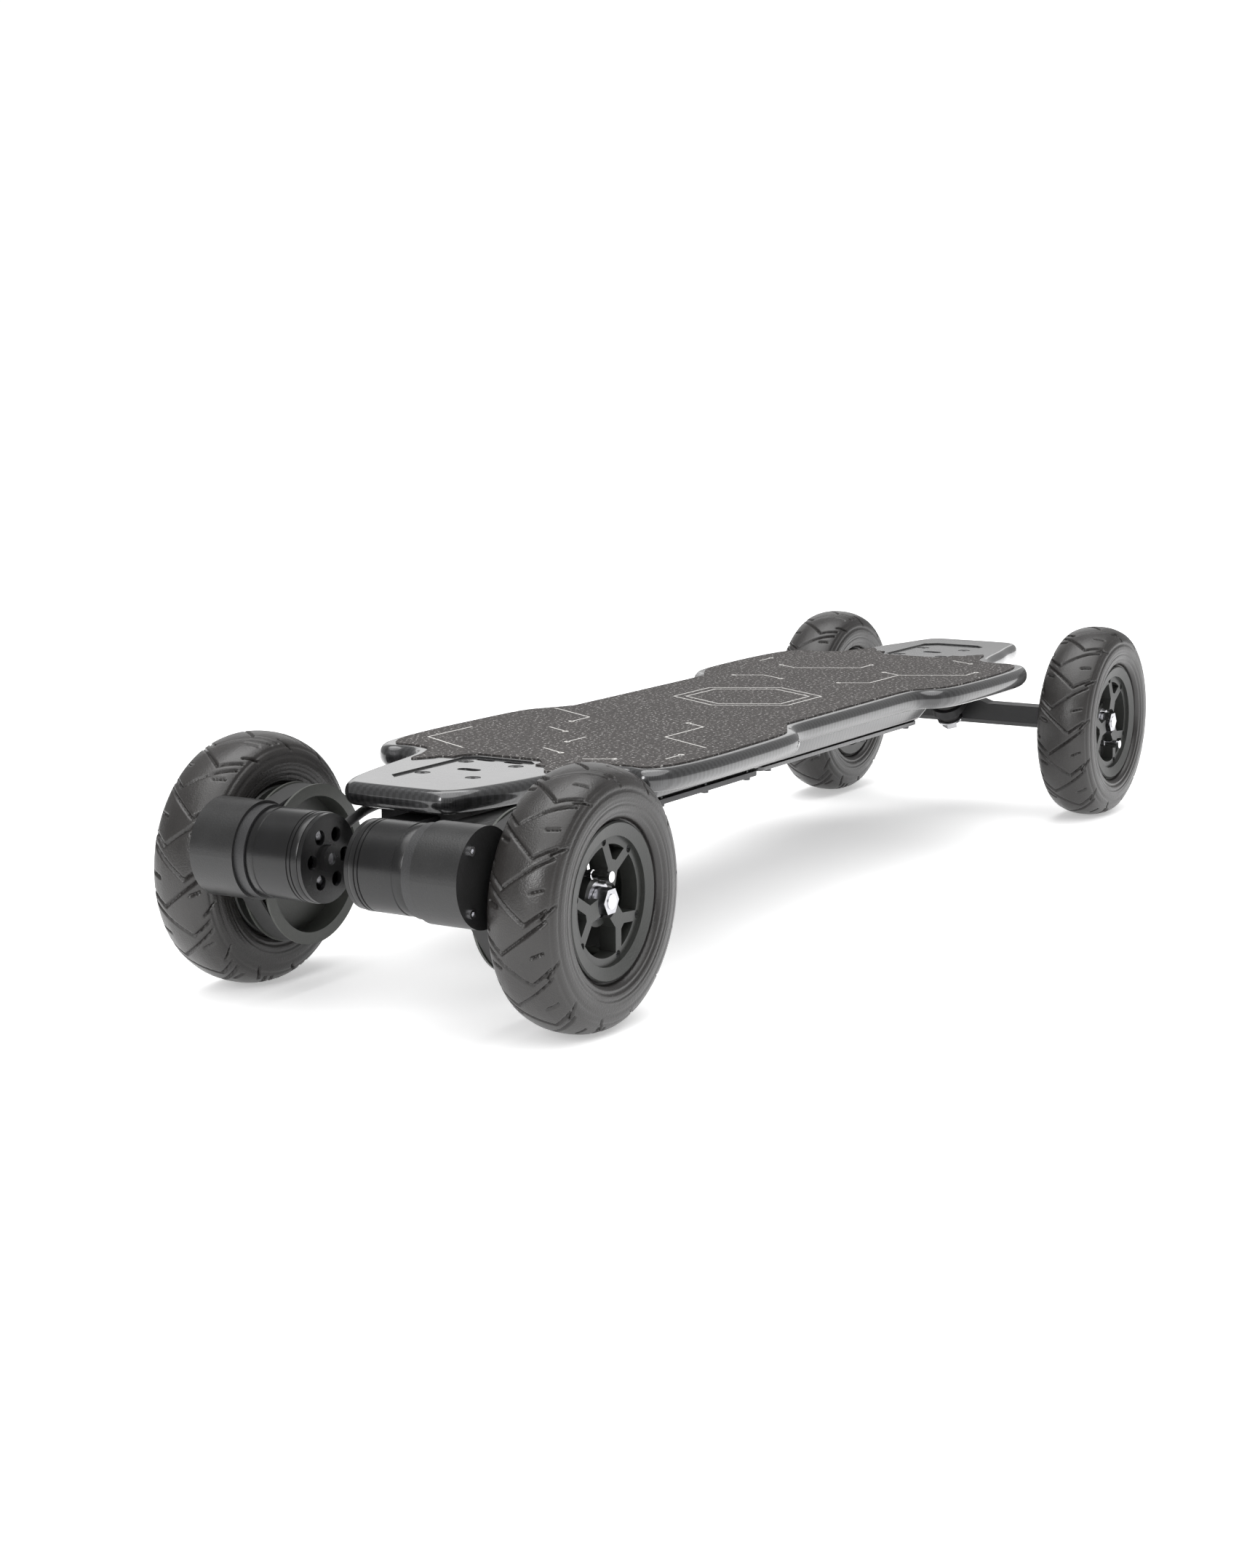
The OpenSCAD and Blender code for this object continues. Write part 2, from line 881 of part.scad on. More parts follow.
module tyre_front_left() {
  color(rubber_black)
    place()
      at_wheel(1, 1)
        tyre();
}

module tyre_front_right() {
  color(rubber_black)
    place()
      at_wheel(1, -1)
        tyre();
}

module tyre_rear_left() {
  color(rubber_black)
    place()
      at_wheel(-1, 1)
        tyre();
}

module tyre_rear_right() {
  color(rubber_black)
    place()
      at_wheel(-1, -1)
        tyre();
}

module hub_bolts_front_left() {
  color(steel)
    place()
      at_wheel(1, 1)
        hub_bolts(1);
}

module hub_bolts_front_right() {
  color(steel)
    place()
      at_wheel(1, -1)
        hub_bolts(-1);
}

module hub_bolts_rear_left() {
  color(steel)
    place()
      at_wheel(-1, 1)
        hub_bolts(1);
}

module hub_bolts_rear_right() {
  color(steel)
    place()
      at_wheel(-1, -1)
        hub_bolts(-1);
}

module bearings_front_left() {
  color(steel)
    place()
      at_wheel(1, 1)
        bearings();
}

module bearings_front_right() {
  color(steel)
    place()
      at_wheel(1, -1)
        bearings();
}

module bearings_rear_left() {
  color(steel)
    place()
      at_wheel(-1, 1)
        bearings();
}

module bearings_rear_right() {
  color(steel)
    place()
      at_wheel(-1, -1)
        bearings();
}

module valve_front_left() {
  color(steel)
    place()
      at_wheel(1, 1)
        valve(-valve_high);
}

module valve_front_right() {
  color(steel)
    place()
      at_wheel(1, -1)
        valve(valve_low);
}

module valve_rear_left() {
  color(steel)
    place()
      at_wheel(-1, 1)
        valve(-valve_low);
}

module valve_rear_right() {
  color(steel)
    place()
      at_wheel(-1, -1)
        valve(valve_high);
}

// ---- belt drive, drawn at the front axle and mirrored to the rear ----

belt_mid = wheel_y - 42;
band_half = belt_width / 2 + 0.85;
flange = 1.8;
wheel_pulley_r = 51.95;
motor_pulley_r = 11.37;
belt_inner = 0.45;
belt_outer = 2.25;
shaft_r = 4;
can_r = can_diameter / 2;
can_start = 20;
mount_out = wheel_y - 64;
mount_in = mount_out - 8;
guard_end = wheel_y - 29;
guard_plate = 2;
motor_screw_r = 19;
guard_post = [16.7, 19.9];
centres = norm([motor_back, motor_rise]);
pull_angle = atan2(motor_rise, motor_back);
blend = 0.02;

// A slab drawn in the X-Z plane, between two distances from the middle
module slab(from, to) {
  translate([0, to, 0])
    rotate([90, 0, 0])
      linear_extrude(to - from)
        children();
}

module both_sides() {
  children();
  mirror([0, 1, 0])
    children();
}

module at_rear_axle() {
  mirror([1, 0, 0])
    at_axle()
      children();
}

module at_motor() {
  translate([motor_back, 0, motor_rise])
    children();
}

// Outline of a belt or plate round two circles: big at the axle, small at the motor
module loop_2d(big, small) {
  lean = acos((big - small) / centres);
  a = big - blend;
  b = small - blend;
  rotate(pull_angle) {
    circle(r = big);
    translate([centres, 0])
      circle(r = small);
    polygon([
      [a * cos(lean), a * sin(lean)], [a * cos(lean), -a * sin(lean)],
      [centres + b * cos(lean), -b * sin(lean)], [centres + b * cos(lean), b * sin(lean)]]);
  }
}

module motor_screw_places() {
  for (a = [0 : 90 : 270])
    rotate(a)
      translate([motor_screw_r, 0])
        children();
}

module guard_screw_places() {
  for (s = [-1, 1])
    translate([guard_post[0], s * guard_post[1]])
      children();
}

module motor_mounts() {
  color(metal_black)
    place()
      at_rear_axle()
        both_sides()
          slab(mount_in, mount_out)
            difference() {
              loop_2d(18, can_r + 1);
              polygon([
                [-blade_half, blade_half], [-blade_half, -6], [-6, -blade_half],
                [6, -blade_half], [blade_half, -6], [blade_half, blade_half]]);
              translate([motor_back, motor_rise]) {
                circle(r = 13);
                motor_screw_places()
                  circle(r = 2);
                guard_screw_places()
                  circle(r = 2);
              }
            }
}

module motor_cans() {
  color(metal_black)
    place()
      at_rear_axle()
        both_sides()
          at_motor() {
            slab(can_start, mount_in - 3)
              difference() {
                circle(r = can_r);
                circle(r = can_r - 4);
              }
            slab(mount_in - 3, mount_in)
              difference() {
                circle(r = can_r);
                circle(r = shaft_r + running);
                motor_screw_places()
                  circle(r = 2);
              }
          }
}

module motor_end_bells() {
  color(metal_black)
    place()
      at_rear_axle()
        both_sides()
          at_motor() {
            slab(can_start - 3, can_start)
              difference() {
                circle(r = can_r - 0.6);
                circle(r = shaft_r + running);
                for (a = [0 : 60 : 300])
                  rotate(a)
                    translate([17, 0])
                      circle(r = 5);
              }
            slab(can_start - 6, can_start - 3)
              difference() {
                circle(r = 9);
                circle(r = shaft_r + running);
              }
          }
}

module motor_screws() {
  color(steel)
    place()
      at_rear_axle()
        both_sides()
          at_motor() {
            slab(mount_in - 3, mount_out)
              motor_screw_places()
                circle(r = 2);
            slab(mount_out, mount_out + 3)
              motor_screw_places()
                difference() {
                  circle(r = 3.5);
                  circle(r = 1.6, $fn = 6);
                }
            slab(mount_in + 1, guard_end)
              guard_screw_places()
                circle(r = 2);
            slab(guard_end, guard_end + 1.4)
              guard_screw_places()
                difference() {
                  circle(r = 3.2);
                  circle(r = 1.5, $fn = 6);
                }
          }
}

module belt_guards() {
  color([0.25, 0.25, 0.26])
    place()
      at_rear_axle()
        both_sides()
          difference() {
            at_motor() {
              slab(mount_out, guard_end)
                difference() {
                  circle(r = guard_r);
                  circle(r = guard_r - 2.4);
                }
              slab(guard_end - guard_plate, guard_end)
                circle(r = guard_r - 1);
              slab(mount_out, guard_end)
                guard_screw_places()
                  circle(r = 3.6);
            }
            at_motor()
              slab(mount_out - 1, guard_end + 1)
                guard_screw_places()
                  circle(r = 2);
            slab(belt_mid - band_half - flange - 1.5, guard_end - guard_plate)
              loop_2d(58, 17.5);
            slab(belt_mid - band_half - flange - 1.5, guard_end + 1)
              circle(r = 58);
          }
}

module belts() {
  color(black)
    place()
      at_rear_axle()
        both_sides()
          slab(belt_mid - belt_width / 2, belt_mid + belt_width / 2)
            difference() {
              loop_2d(wheel_pulley_r + belt_outer, motor_pulley_r + belt_outer);
              loop_2d(wheel_pulley_r + belt_inner, motor_pulley_r + belt_inner);
            }
}

module motor_shaft() {
  at_motor() {
    slab(can_start - 5, belt_mid + band_half + flange)
      circle(r = shaft_r);
    slab(can_start + 5, mount_in - 5)
      difference() {
        circle(r = can_r - 6);
        circle(r = shaft_r);
      }
  }
}

module motor_pulley() {
  at_motor() {
    slab(belt_mid - band_half, belt_mid + band_half)
      difference() {
        circle(r = motor_pulley_r);
        circle(r = shaft_r);
      }
    for (y = [belt_mid - band_half - flange, belt_mid + band_half])
      slab(y, y + flange)
        difference() {
          circle(r = motor_pulley_r + 3.2);
          circle(r = shaft_r);
        }
  }
}

module motor_shaft_left() {
  color(steel)
    place()
      at_rear_axle()
        motor_shaft();
}

module motor_pulley_left() {
  color(steel)
    place()
      at_rear_axle()
        motor_pulley();
}

module motor_shaft_right() {
  color(steel)
    place()
      at_rear_axle()
        mirror([0, 1, 0])
          motor_shaft();
}

module motor_pulley_right() {
  color(steel)
    place()
      at_rear_axle()
        mirror([0, 1, 0])
          motor_pulley();
}

pulley_bore = 14;
rib_half = 1.5;

// Wheel frame: the pulley stands on six posts behind the hub's spokes
module drive_pulley(side) {
  low = belt_mid - wheel_y - band_half;
  high = belt_mid - wheel_y + band_half;
  difference() {
    union() {
      translate([0, 0, low])
        cylinder(h = high - low, r = wheel_pulley_r, $fn = 132);
      for (z = [low - flange, high])
        translate([0, 0, z])
          cylinder(h = flange, r = wheel_pulley_r + 3.2);
      hub_bolt_places(side)
        translate([0, 0, high])
          cylinder(h = spoke_in - high, r = 2.9, $fn = 32);
    }
    translate([0, 0, low - flange - 1])
      difference() {
        cylinder(h = high - low + flange - 2, r = wheel_pulley_r - 5);
        cylinder(h = high - low + flange, r = pulley_bore + 4);
        for (a = [0 : 30 : 150])
          rotate(a)
            translate([-wheel_pulley_r, -rib_half, -1])
              cube([2 * wheel_pulley_r, 2 * rib_half, high]);
      }
    translate([0, 0, low - flange - 2])
      cylinder(h = 60, r = pulley_bore);
  }
}

module drive_pulley_left() {
  color([0.3, 0.31, 0.29])
    place()
      at_wheel(-1, 1)
        drive_pulley(1);
}

module drive_pulley_right() {
  color([0.3, 0.31, 0.29])
    place()
      at_wheel(-1, -1)
        drive_pulley(-1);
}

// ---- motor cables: out of the belly, round the truck and down to the motors ----

cable_r = 3.5;
cable_sides = 10;
cable_z = plate_top + 1.6;
cable_route = [
  [-belly_rear - 0.4, 9, socket_z], [-belly_rear - 10, 12, socket_z], [-belly_rear - 26, 30, cable_z],
  [-axle_x + 118, 44, cable_z], [-axle_x + 90, 46.5, cable_z], [-axle_x + 50, 46.5, cable_z],
  [-axle_x + 14, 44, cable_z - 1], [-axle_x - 12, 38, cable_z - 3], [-axle_x - motor_back + can_r + 6, 33, axle_z + motor_rise + 12],
  [-axle_x - motor_back + can_r - 0.6, 32, axle_z + motor_rise + 9.6]];

function cable_ring(p, t) =
  let (u = unit(cross(t, [0, 0, 1])), v = cross(u, t))
  [for (i = [0 : cable_sides - 1])
    p + cable_r * (cos(360 * i / cable_sides) * u + sin(360 * i / cable_sides) * v)];

module cable(route) {
  path = open_curve(route, 3);
  last = len(path) - 1;
  ring_solid([for (i = [0 : last])
    cable_ring(path[i], unit(path[min(i + 1, last)] - path[max(i - 1, 0)]))]);
}

module motor_cables() {
  color(black)
    place()
      both_sides()
        cable(cable_route);
}

deck_shell();
grip_tape();
battery_lid();
controller_lid();
lid_seal();
lid_screws();
battery_cells();
battery_board();
motor_controllers();
charge_socket();
socket_plug();
power_button();
riser_pads();
truck_bolts();
baseplate_front();
baseplate_rear();
kingpins();
kingpin_nuts();
bushings_front();
bushings_rear();
pivot_cups();
hanger_front();
axle_front();
axle_hardware_front();
hanger_rear();
axle_rear();
axle_hardware_rear();
motor_mounts();
motor_cans();
motor_end_bells();
motor_screws();
belt_guards();
belts();
motor_shaft_left();
motor_pulley_left();
motor_shaft_right();
motor_pulley_right();
motor_cables();
hub_front_left();
tyre_front_left();
hub_bolts_front_left();
bearings_front_left();
valve_front_left();
hub_front_right();
tyre_front_right();
hub_bolts_front_right();
bearings_front_right();
valve_front_right();
hub_rear_left();
tyre_rear_left();
hub_bolts_rear_left();
bearings_rear_left();
valve_rear_left();
drive_pulley_left();
hub_rear_right();
tyre_rear_right();
hub_bolts_rear_right();
bearings_rear_right();
valve_rear_right();
drive_pulley_right();
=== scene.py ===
import math

import bmesh
import bpy
import numpy as np
from mathutils import Matrix, Vector


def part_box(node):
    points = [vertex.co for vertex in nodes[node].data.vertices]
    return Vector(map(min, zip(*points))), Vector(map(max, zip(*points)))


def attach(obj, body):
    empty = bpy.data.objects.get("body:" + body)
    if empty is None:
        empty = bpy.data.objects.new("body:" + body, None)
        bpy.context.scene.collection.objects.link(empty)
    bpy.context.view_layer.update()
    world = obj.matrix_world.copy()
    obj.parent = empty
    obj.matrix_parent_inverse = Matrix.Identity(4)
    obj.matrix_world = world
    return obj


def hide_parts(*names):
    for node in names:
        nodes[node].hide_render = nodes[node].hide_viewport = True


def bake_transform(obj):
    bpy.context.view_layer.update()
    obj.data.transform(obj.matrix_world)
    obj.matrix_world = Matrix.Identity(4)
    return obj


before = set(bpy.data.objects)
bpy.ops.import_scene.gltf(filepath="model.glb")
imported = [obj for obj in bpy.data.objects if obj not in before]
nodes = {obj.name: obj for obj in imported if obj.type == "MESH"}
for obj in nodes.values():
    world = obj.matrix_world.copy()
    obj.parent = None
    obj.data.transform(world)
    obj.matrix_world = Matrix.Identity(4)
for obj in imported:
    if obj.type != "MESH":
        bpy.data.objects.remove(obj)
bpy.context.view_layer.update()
scene = bpy.context.scene
scene.view_settings.view_transform = "Standard"


# ---- Camera ----
# A long-lens product camera, low behind the board's right rear corner.
camera_lens = bpy.data.cameras.new("product_camera")
camera_lens.lens = 60.93
camera_lens.sensor_width = 36.0
camera_lens.clip_end = 200.0
camera = bpy.data.objects.new("product_camera", camera_lens)
camera.location = (-1.86585, -1.0057, 0.45)
camera.rotation_euler = Vector((0.8483, 0.5013, -0.1702)).to_track_quat("-Z", "Y").to_euler()
scene.collection.objects.link(camera)
scene.camera = camera


# ---- Studio ----
# A broad backlit white floor with an even white surround, a soft sun-wide panel and
# overhead box above, a wide box beyond the nose and a small one behind the tail.
def make_piece(name, points, faces, material, smooth_angle=32.0):
    mesh = bpy.data.meshes.new(name)
    mesh.from_pydata([tuple(p) for p in points], [], [tuple(f) for f in faces])
    mesh.materials.append(material)
    mesh.shade_smooth()
    mesh.set_sharp_from_angle(angle=math.radians(smooth_angle))
    piece = bpy.data.objects.new(name, mesh)
    scene.collection.objects.link(piece)
    return piece


floor_paint = bpy.data.materials.new("studio_floor_paint")
floor_paint.use_nodes = True
floor_shader = floor_paint.node_tree.nodes["Principled BSDF"]
floor_shader.inputs["Roughness"].default_value = 0.75
floor_shader.inputs["Emission Color"].default_value = (1.0, 1.0, 1.0, 1.0)
floor_shader.inputs["Emission Strength"].default_value = 0.4
floor_grain = floor_paint.node_tree.nodes.new("ShaderNodeTexNoise")
floor_grain.inputs["Scale"].default_value = 3.0
floor_tone = floor_paint.node_tree.nodes.new("ShaderNodeMix")
floor_tone.data_type = "RGBA"
floor_tone.inputs["A"].default_value = (0.9, 0.9, 0.902, 1.0)
floor_tone.inputs["B"].default_value = (0.93, 0.93, 0.93, 1.0)
floor_paint.node_tree.links.new(floor_grain.outputs["Fac"], floor_tone.inputs["Factor"])
floor_paint.node_tree.links.new(floor_tone.outputs["Result"], floor_shader.inputs["Base Color"])
floor_reach = 60.0
floor = make_piece(
    "studio_floor",
    [
        (-floor_reach, -floor_reach, 0), (floor_reach, -floor_reach, 0),
        (floor_reach, floor_reach, 0), (-floor_reach, floor_reach, 0),
    ],
    [(0, 1, 2, 3)],
    floor_paint,
)

surround = bpy.data.worlds.new("white_surround")
surround.use_nodes = True
backdrop_glow = surround.node_tree.nodes["Background"]
backdrop_glow.inputs["Color"].default_value = (1.0, 1.0, 1.0, 1.0)
seen_directly = surround.node_tree.nodes.new("ShaderNodeLightPath")
glow_strength = surround.node_tree.nodes.new("ShaderNodeMapRange")
glow_strength.inputs["To Min"].default_value = 0.42
glow_strength.inputs["To Max"].default_value = 1.02
surround.node_tree.links.new(seen_directly.outputs["Is Camera Ray"], glow_strength.inputs["Value"])
surround.node_tree.links.new(glow_strength.outputs["Result"], backdrop_glow.inputs["Strength"])
scene.world = surround

sky_panel = bpy.data.lights.new("sky_panel", "SUN")
sky_panel.energy = 2.9
sky_panel.angle = math.radians(85.0)
sky_panel_holder = bpy.data.objects.new("sky_panel", sky_panel)
sky_panel_holder.rotation_euler = Vector((0.12, 0.2, -1.0)).to_track_quat("-Z", "Y").to_euler()
scene.collection.objects.link(sky_panel_holder)


def add_softbox(name, place, target, size, power):
    light = bpy.data.lights.new(name, "AREA")
    light.shape = "RECTANGLE"
    light.size = size[0]
    light.size_y = size[1]
    light.energy = power
    box = bpy.data.objects.new(name, light)
    box.location = place
    box.rotation_euler = (Vector(target) - Vector(place)).to_track_quat("-Z", "Y").to_euler()
    scene.collection.objects.link(box)


add_softbox("overhead_softbox", (0.1, 0.3, 2.6), (0.0, 0.0, 0.1), (2.6, 1.6), 24.0)
add_softbox("nose_softbox", (3.2, 2.4, 1.5), (0.0, 0.0, 0.15), (3.6, 1.6), 12.0)
add_softbox("rear_fill", (-2.5, -0.2, 1.1), (-0.4, -0.1, 0.1), (0.7, 0.9), 20.0)


# ---- Deck shell ----
# The deck is a carbon-fibre laminate plate with a fully rounded rim, moulded in one
# with the hollow battery belly under it, then lacquered clear and drilled for the trucks.
# Sizes are in millimetres, with x from the middle of the wheelbase
wheelbase_shift = 8.25
axle_radius = 5.0
axle_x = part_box("axle_front")[1].x * 1000 - axle_radius - wheelbase_shift
deck_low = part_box("riser_pads")[1].z * 1000 - 0.6
deck_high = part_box("grip_tape")[0].z * 1000
wing = 128.0
waist = 104.0
tyre_radius = 87.5
wing_tip = axle_x - tyre_radius - 31.0
front_wing_end = 0.285 * axle_x
rear_wing_end = 0.235 * axle_x


def row(x, y, z):
    return Vector(((x + wheelbase_shift) / 1000, y / 1000, z / 1000))


def spline_point(a, b, c, d, t):
    # A point between b and c on the curve that passes through all four
    return 0.5 * (2 * b + (c - a) * t + (2 * a - 5 * b + 4 * c - d) * t * t + (3 * b - a - 3 * c + d) * t ** 3)


def curve_round(loop, steps):
    points = []
    count = len(loop)
    for i in range(count):
        a, b, c, d = (Vector(loop[(i + k) % count]) for k in (-1, 0, 1, 2))
        for s in range(steps):
            points.append(spline_point(a, b, c, d, s / steps))
    return points


def mirrored_loop(half):
    return half + [(x, -y) for x, y in reversed(half)]


def set_in(loop, depth):
    count = len(loop)
    moved = []
    for i, point in enumerate(loop):
        along = (loop[(i + 1) % count] - loop[i - 1]).normalized()
        moved.append(point + depth * Vector((-along.y, along.x)))
    return moved


def end_edge(tip, wing_end):
    return [
        (tip, 28), (tip - 4, 41), (tip - 16, 49), (axle_x - 12, 55), (axle_x - 40, 61),
        (axle_x - 70, 66), (axle_x - 97, 72), (axle_x - 116, 82), (wing_tip - 1, 95),
        (wing_tip + 1, 108), (wing_tip - 9, 119), (wing_tip - 30, wing - 3),
        (wing_tip - 70, wing), (wing_tip - 120, wing), (wing_end + 35, wing - 3),
        (wing_end + 12, waist + 0.66 * (wing - 3 - waist)), (wing_end, waist + 4), (wing_end - 20, waist),
    ]


nose_edge = end_edge(axle_x + 36, front_wing_end)
tail_edge = end_edge(axle_x + 23, rear_wing_end)
deck_half = nose_edge + [(40, waist), (-40, waist)] + [(-x, y) for x, y in reversed(tail_edge)]
deck_outline = curve_round(mirrored_loop(deck_half), 5)


def layered_shell(loop, layers):
    points = []
    faces = []
    count = len(loop)
    for depth, height in layers:
        points += [row(p.x, p.y, height) for p in set_in(loop, depth)]
    for layer in range(len(layers) - 1):
        for i in range(count):
            a, b = layer * count + i, layer * count + (i + 1) % count
            faces.append((a, b, b + count, a + count))
    faces.append(tuple(reversed(range(count))))
    faces.append(tuple((len(layers) - 1) * count + i for i in range(count)))
    return points, faces


def carve(piece, tool, operation):
    modifier = piece.modifiers.new("carve", "BOOLEAN")
    modifier.operation = operation
    modifier.solver = "EXACT"
    modifier.object = tool
    bpy.context.view_layer.update()
    carved = bpy.data.meshes.new_from_object(piece.evaluated_get(bpy.context.evaluated_depsgraph_get()))
    piece.modifiers.clear()
    piece.data = carved
    bpy.data.objects.remove(tool)


def flatten_shading(piece, smooth_angle):
    # Large flat faces stay optically flat where they meet a rounded edge
    work = bmesh.new()
    work.from_mesh(piece.data)
    for face in work.faces:
        face.smooth = True
    for edge in work.edges:
        edge.smooth = edge.is_manifold and edge.calc_face_angle(0.0) < math.radians(smooth_angle)
        if edge.is_manifold:
            flat = [abs(f.normal.z) > 0.9999 for f in edge.link_faces]
            if flat[0] != flat[1]:
                edge.smooth = False
    work.to_mesh(piece.data)
    work.free()


def face_outwards(piece):
    work = bmesh.new()
    work.from_mesh(piece.data)
    bmesh.ops.recalc_face_normals(work, faces=work.faces)
    work.to_mesh(piece.data)
    work.free()


def make_prism(name, outline, low, high, material):
    count = len(outline)
    points = [row(x, y, low) for x, y in outline] + [row(x, y, high) for x, y in outline]
    faces = [(i, (i + 1) % count, count + (i + 1) % count, count + i) for i in range(count)]
    faces.append(tuple(reversed(range(count))))
    faces.append(tuple(range(count, 2 * count)))
    piece = make_piece(name, points, faces, material)
    face_outwards(piece)
    return piece


def rounded_slot(x, y, length, width):
    points = []
    for i in range(24):
        turn = 2 * math.pi * i / 24
        shift = (length - width) / 2 * (1 if math.cos(turn) >= 0 else -1)
        points.append((x + width / 2 * math.sin(turn), y + shift + width / 2 * math.cos(turn)))
    return points


def circle_outline(x, y, radius, sides=40):
    turns = [2 * math.pi * i / sides for i in range(sides)]
    return [(x + radius * math.cos(turn), y + radius * math.sin(turn)) for turn in turns]


# Two-by-two twill of carbon tows under the lacquer, as a mask over the surface
twill = bpy.data.node_groups.new("carbon_twill", "ShaderNodeTree")
for socket_name, kind, start in (
    ("Dark Tow", "NodeSocketColor", (0.03, 0.03, 0.031, 1.0)),
    ("Light Tow", "NodeSocketColor", (0.048, 0.048, 0.05, 1.0)),
    ("Tow Width", "NodeSocketFloat", 0.0013),
):
    socket = twill.interface.new_socket(socket_name, in_out="INPUT", socket_type=kind)
    socket.default_value = start
twill.interface.new_socket("Colour", in_out="OUTPUT", socket_type="NodeSocketColor")
twill.interface.new_socket("Height", in_out="OUTPUT", socket_type="NodeSocketFloat")
twill_in = twill.nodes.new("NodeGroupInput")
twill_out = twill.nodes.new("NodeGroupOutput")
twill_place = twill.nodes.new("ShaderNodeTexCoord")
twill_split = twill.nodes.new("ShaderNodeSeparateXYZ")
twill.links.new(twill_place.outputs["Object"], twill_split.inputs[0])


def sum_node(tree, operation, first, second=None):
    step = tree.nodes.new("ShaderNodeMath")
    step.operation = operation
    for slot_number, value in enumerate((first, second)):
        if value is None:
            continue
        if isinstance(value, (int, float)):
            step.inputs[slot_number].default_value = value
        else:
            tree.links.new(value, step.inputs[slot_number])
    return step.outputs[0]


tow_width = twill_in.outputs["Tow Width"]
tow_x = sum_node(twill, "FLOOR", sum_node(twill, "DIVIDE", twill_split.outputs["X"], tow_width))
tow_y = sum_node(twill, "FLOOR", sum_node(twill, "DIVIDE", twill_split.outputs["Y"], tow_width))
tow_step = sum_node(twill, "FLOORED_MODULO", sum_node(twill, "ADD", tow_x, tow_y), 4.0)
tow_mask = sum_node(twill, "LESS_THAN", tow_step, 2.0)
tow_mix = twill.nodes.new("ShaderNodeMix")
tow_mix.data_type = "RGBA"
twill.links.new(tow_mask, tow_mix.inputs["Factor"])
twill.links.new(twill_in.outputs["Dark Tow"], tow_mix.inputs["A"])
twill.links.new(twill_in.outputs["Light Tow"], tow_mix.inputs["B"])
twill.links.new(tow_mix.outputs["Result"], twill_out.inputs["Colour"])
twill.links.new(tow_mask, twill_out.inputs["Height"])

# Soft clouding, fine grain and an uneven polish, shared by every moulded, painted or machined finish
grain = bpy.data.node_groups.new("surface_grain", "ShaderNodeTree")
for socket_name, kind, start in (
    ("Colour", "NodeSocketColor", (0.1, 0.1, 0.1, 1.0)),
    ("Clouded Colour", "NodeSocketColor", (0.12, 0.12, 0.12, 1.0)),
    ("Cloud Size", "NodeSocketFloat", 0.03),
    ("Grain Size", "NodeSocketFloat", 0.001),
    ("Roughness", "NodeSocketFloat", 0.5),
    ("Roughness Spread", "NodeSocketFloat", 0.1),
    ("Grain Height", "NodeSocketFloat", 0.0001),
):
    socket = grain.interface.new_socket(socket_name, in_out="INPUT", socket_type=kind)
    socket.default_value = start
for socket_name, kind in (
    ("Colour", "NodeSocketColor"), ("Roughness", "NodeSocketFloat"), ("Normal", "NodeSocketVector"),
):
    grain.interface.new_socket(socket_name, in_out="OUTPUT", socket_type=kind)
grain_in = grain.nodes.new("NodeGroupInput")
grain_out = grain.nodes.new("NodeGroupOutput")
grain_place = grain.nodes.new("ShaderNodeTexCoord")
clouds = grain.nodes.new("ShaderNodeTexNoise")
clouds.inputs["Detail"].default_value = 3.0
specks = grain.nodes.new("ShaderNodeTexNoise")
specks.inputs["Detail"].default_value = 2.0
for texture, size_name in ((clouds, "Cloud Size"), (specks, "Grain Size")):
    grain.links.new(grain_place.outputs["Object"], texture.inputs["Vector"])
    grain.links.new(sum_node(grain, "DIVIDE", 1.0, grain_in.outputs[size_name]), texture.inputs["Scale"])
cloud_mix = grain.nodes.new("ShaderNodeMix")
cloud_mix.data_type = "RGBA"
grain.links.new(clouds.outputs["Fac"], cloud_mix.inputs["Factor"])
grain.links.new(grain_in.outputs["Colour"], cloud_mix.inputs["A"])
grain.links.new(grain_in.outputs["Clouded Colour"], cloud_mix.inputs["B"])
grain.links.new(cloud_mix.outputs["Result"], grain_out.inputs["Colour"])
unevenness = sum_node(grain, "SUBTRACT", clouds.outputs["Fac"], 0.5)
polish = sum_node(grain, "MULTIPLY", unevenness, grain_in.outputs["Roughness Spread"])
grain.links.new(sum_node(grain, "ADD", polish, grain_in.outputs["Roughness"]), grain_out.inputs["Roughness"])
grain_bump = grain.nodes.new("ShaderNodeBump")
grain.links.new(specks.outputs["Fac"], grain_bump.inputs["Height"])
grain.links.new(grain_in.outputs["Grain Height"], grain_bump.inputs["Distance"])
grain.links.new(grain_bump.outputs["Normal"], grain_out.inputs["Normal"])


def grained(name, colour, clouded, cloud_size, grain_size, roughness, spread, height, metallic=0.0):
    material = bpy.data.materials.new(name)
    material.use_nodes = True
    tree = material.node_tree
    shader = tree.nodes["Principled BSDF"]
    shader.inputs["Metallic"].default_value = metallic
    surface = tree.nodes.new("ShaderNodeGroup")
    surface.node_tree = grain
    surface.inputs["Colour"].default_value = (*colour, 1.0)
    surface.inputs["Clouded Colour"].default_value = (*clouded, 1.0)
    surface.inputs["Cloud Size"].default_value = cloud_size
    surface.inputs["Grain Size"].default_value = grain_size
    surface.inputs["Roughness"].default_value = roughness
    surface.inputs["Roughness Spread"].default_value = spread
    surface.inputs["Grain Height"].default_value = height
    tree.links.new(surface.outputs["Colour"], shader.inputs["Base Color"])
    tree.links.new(surface.outputs["Roughness"], shader.inputs["Roughness"])
    tree.links.new(surface.outputs["Normal"], shader.inputs["Normal"])
    return material


def finish_nodes(material, *names):
    for name in names:
        for slot in nodes[name].material_slots:
            slot.material = material


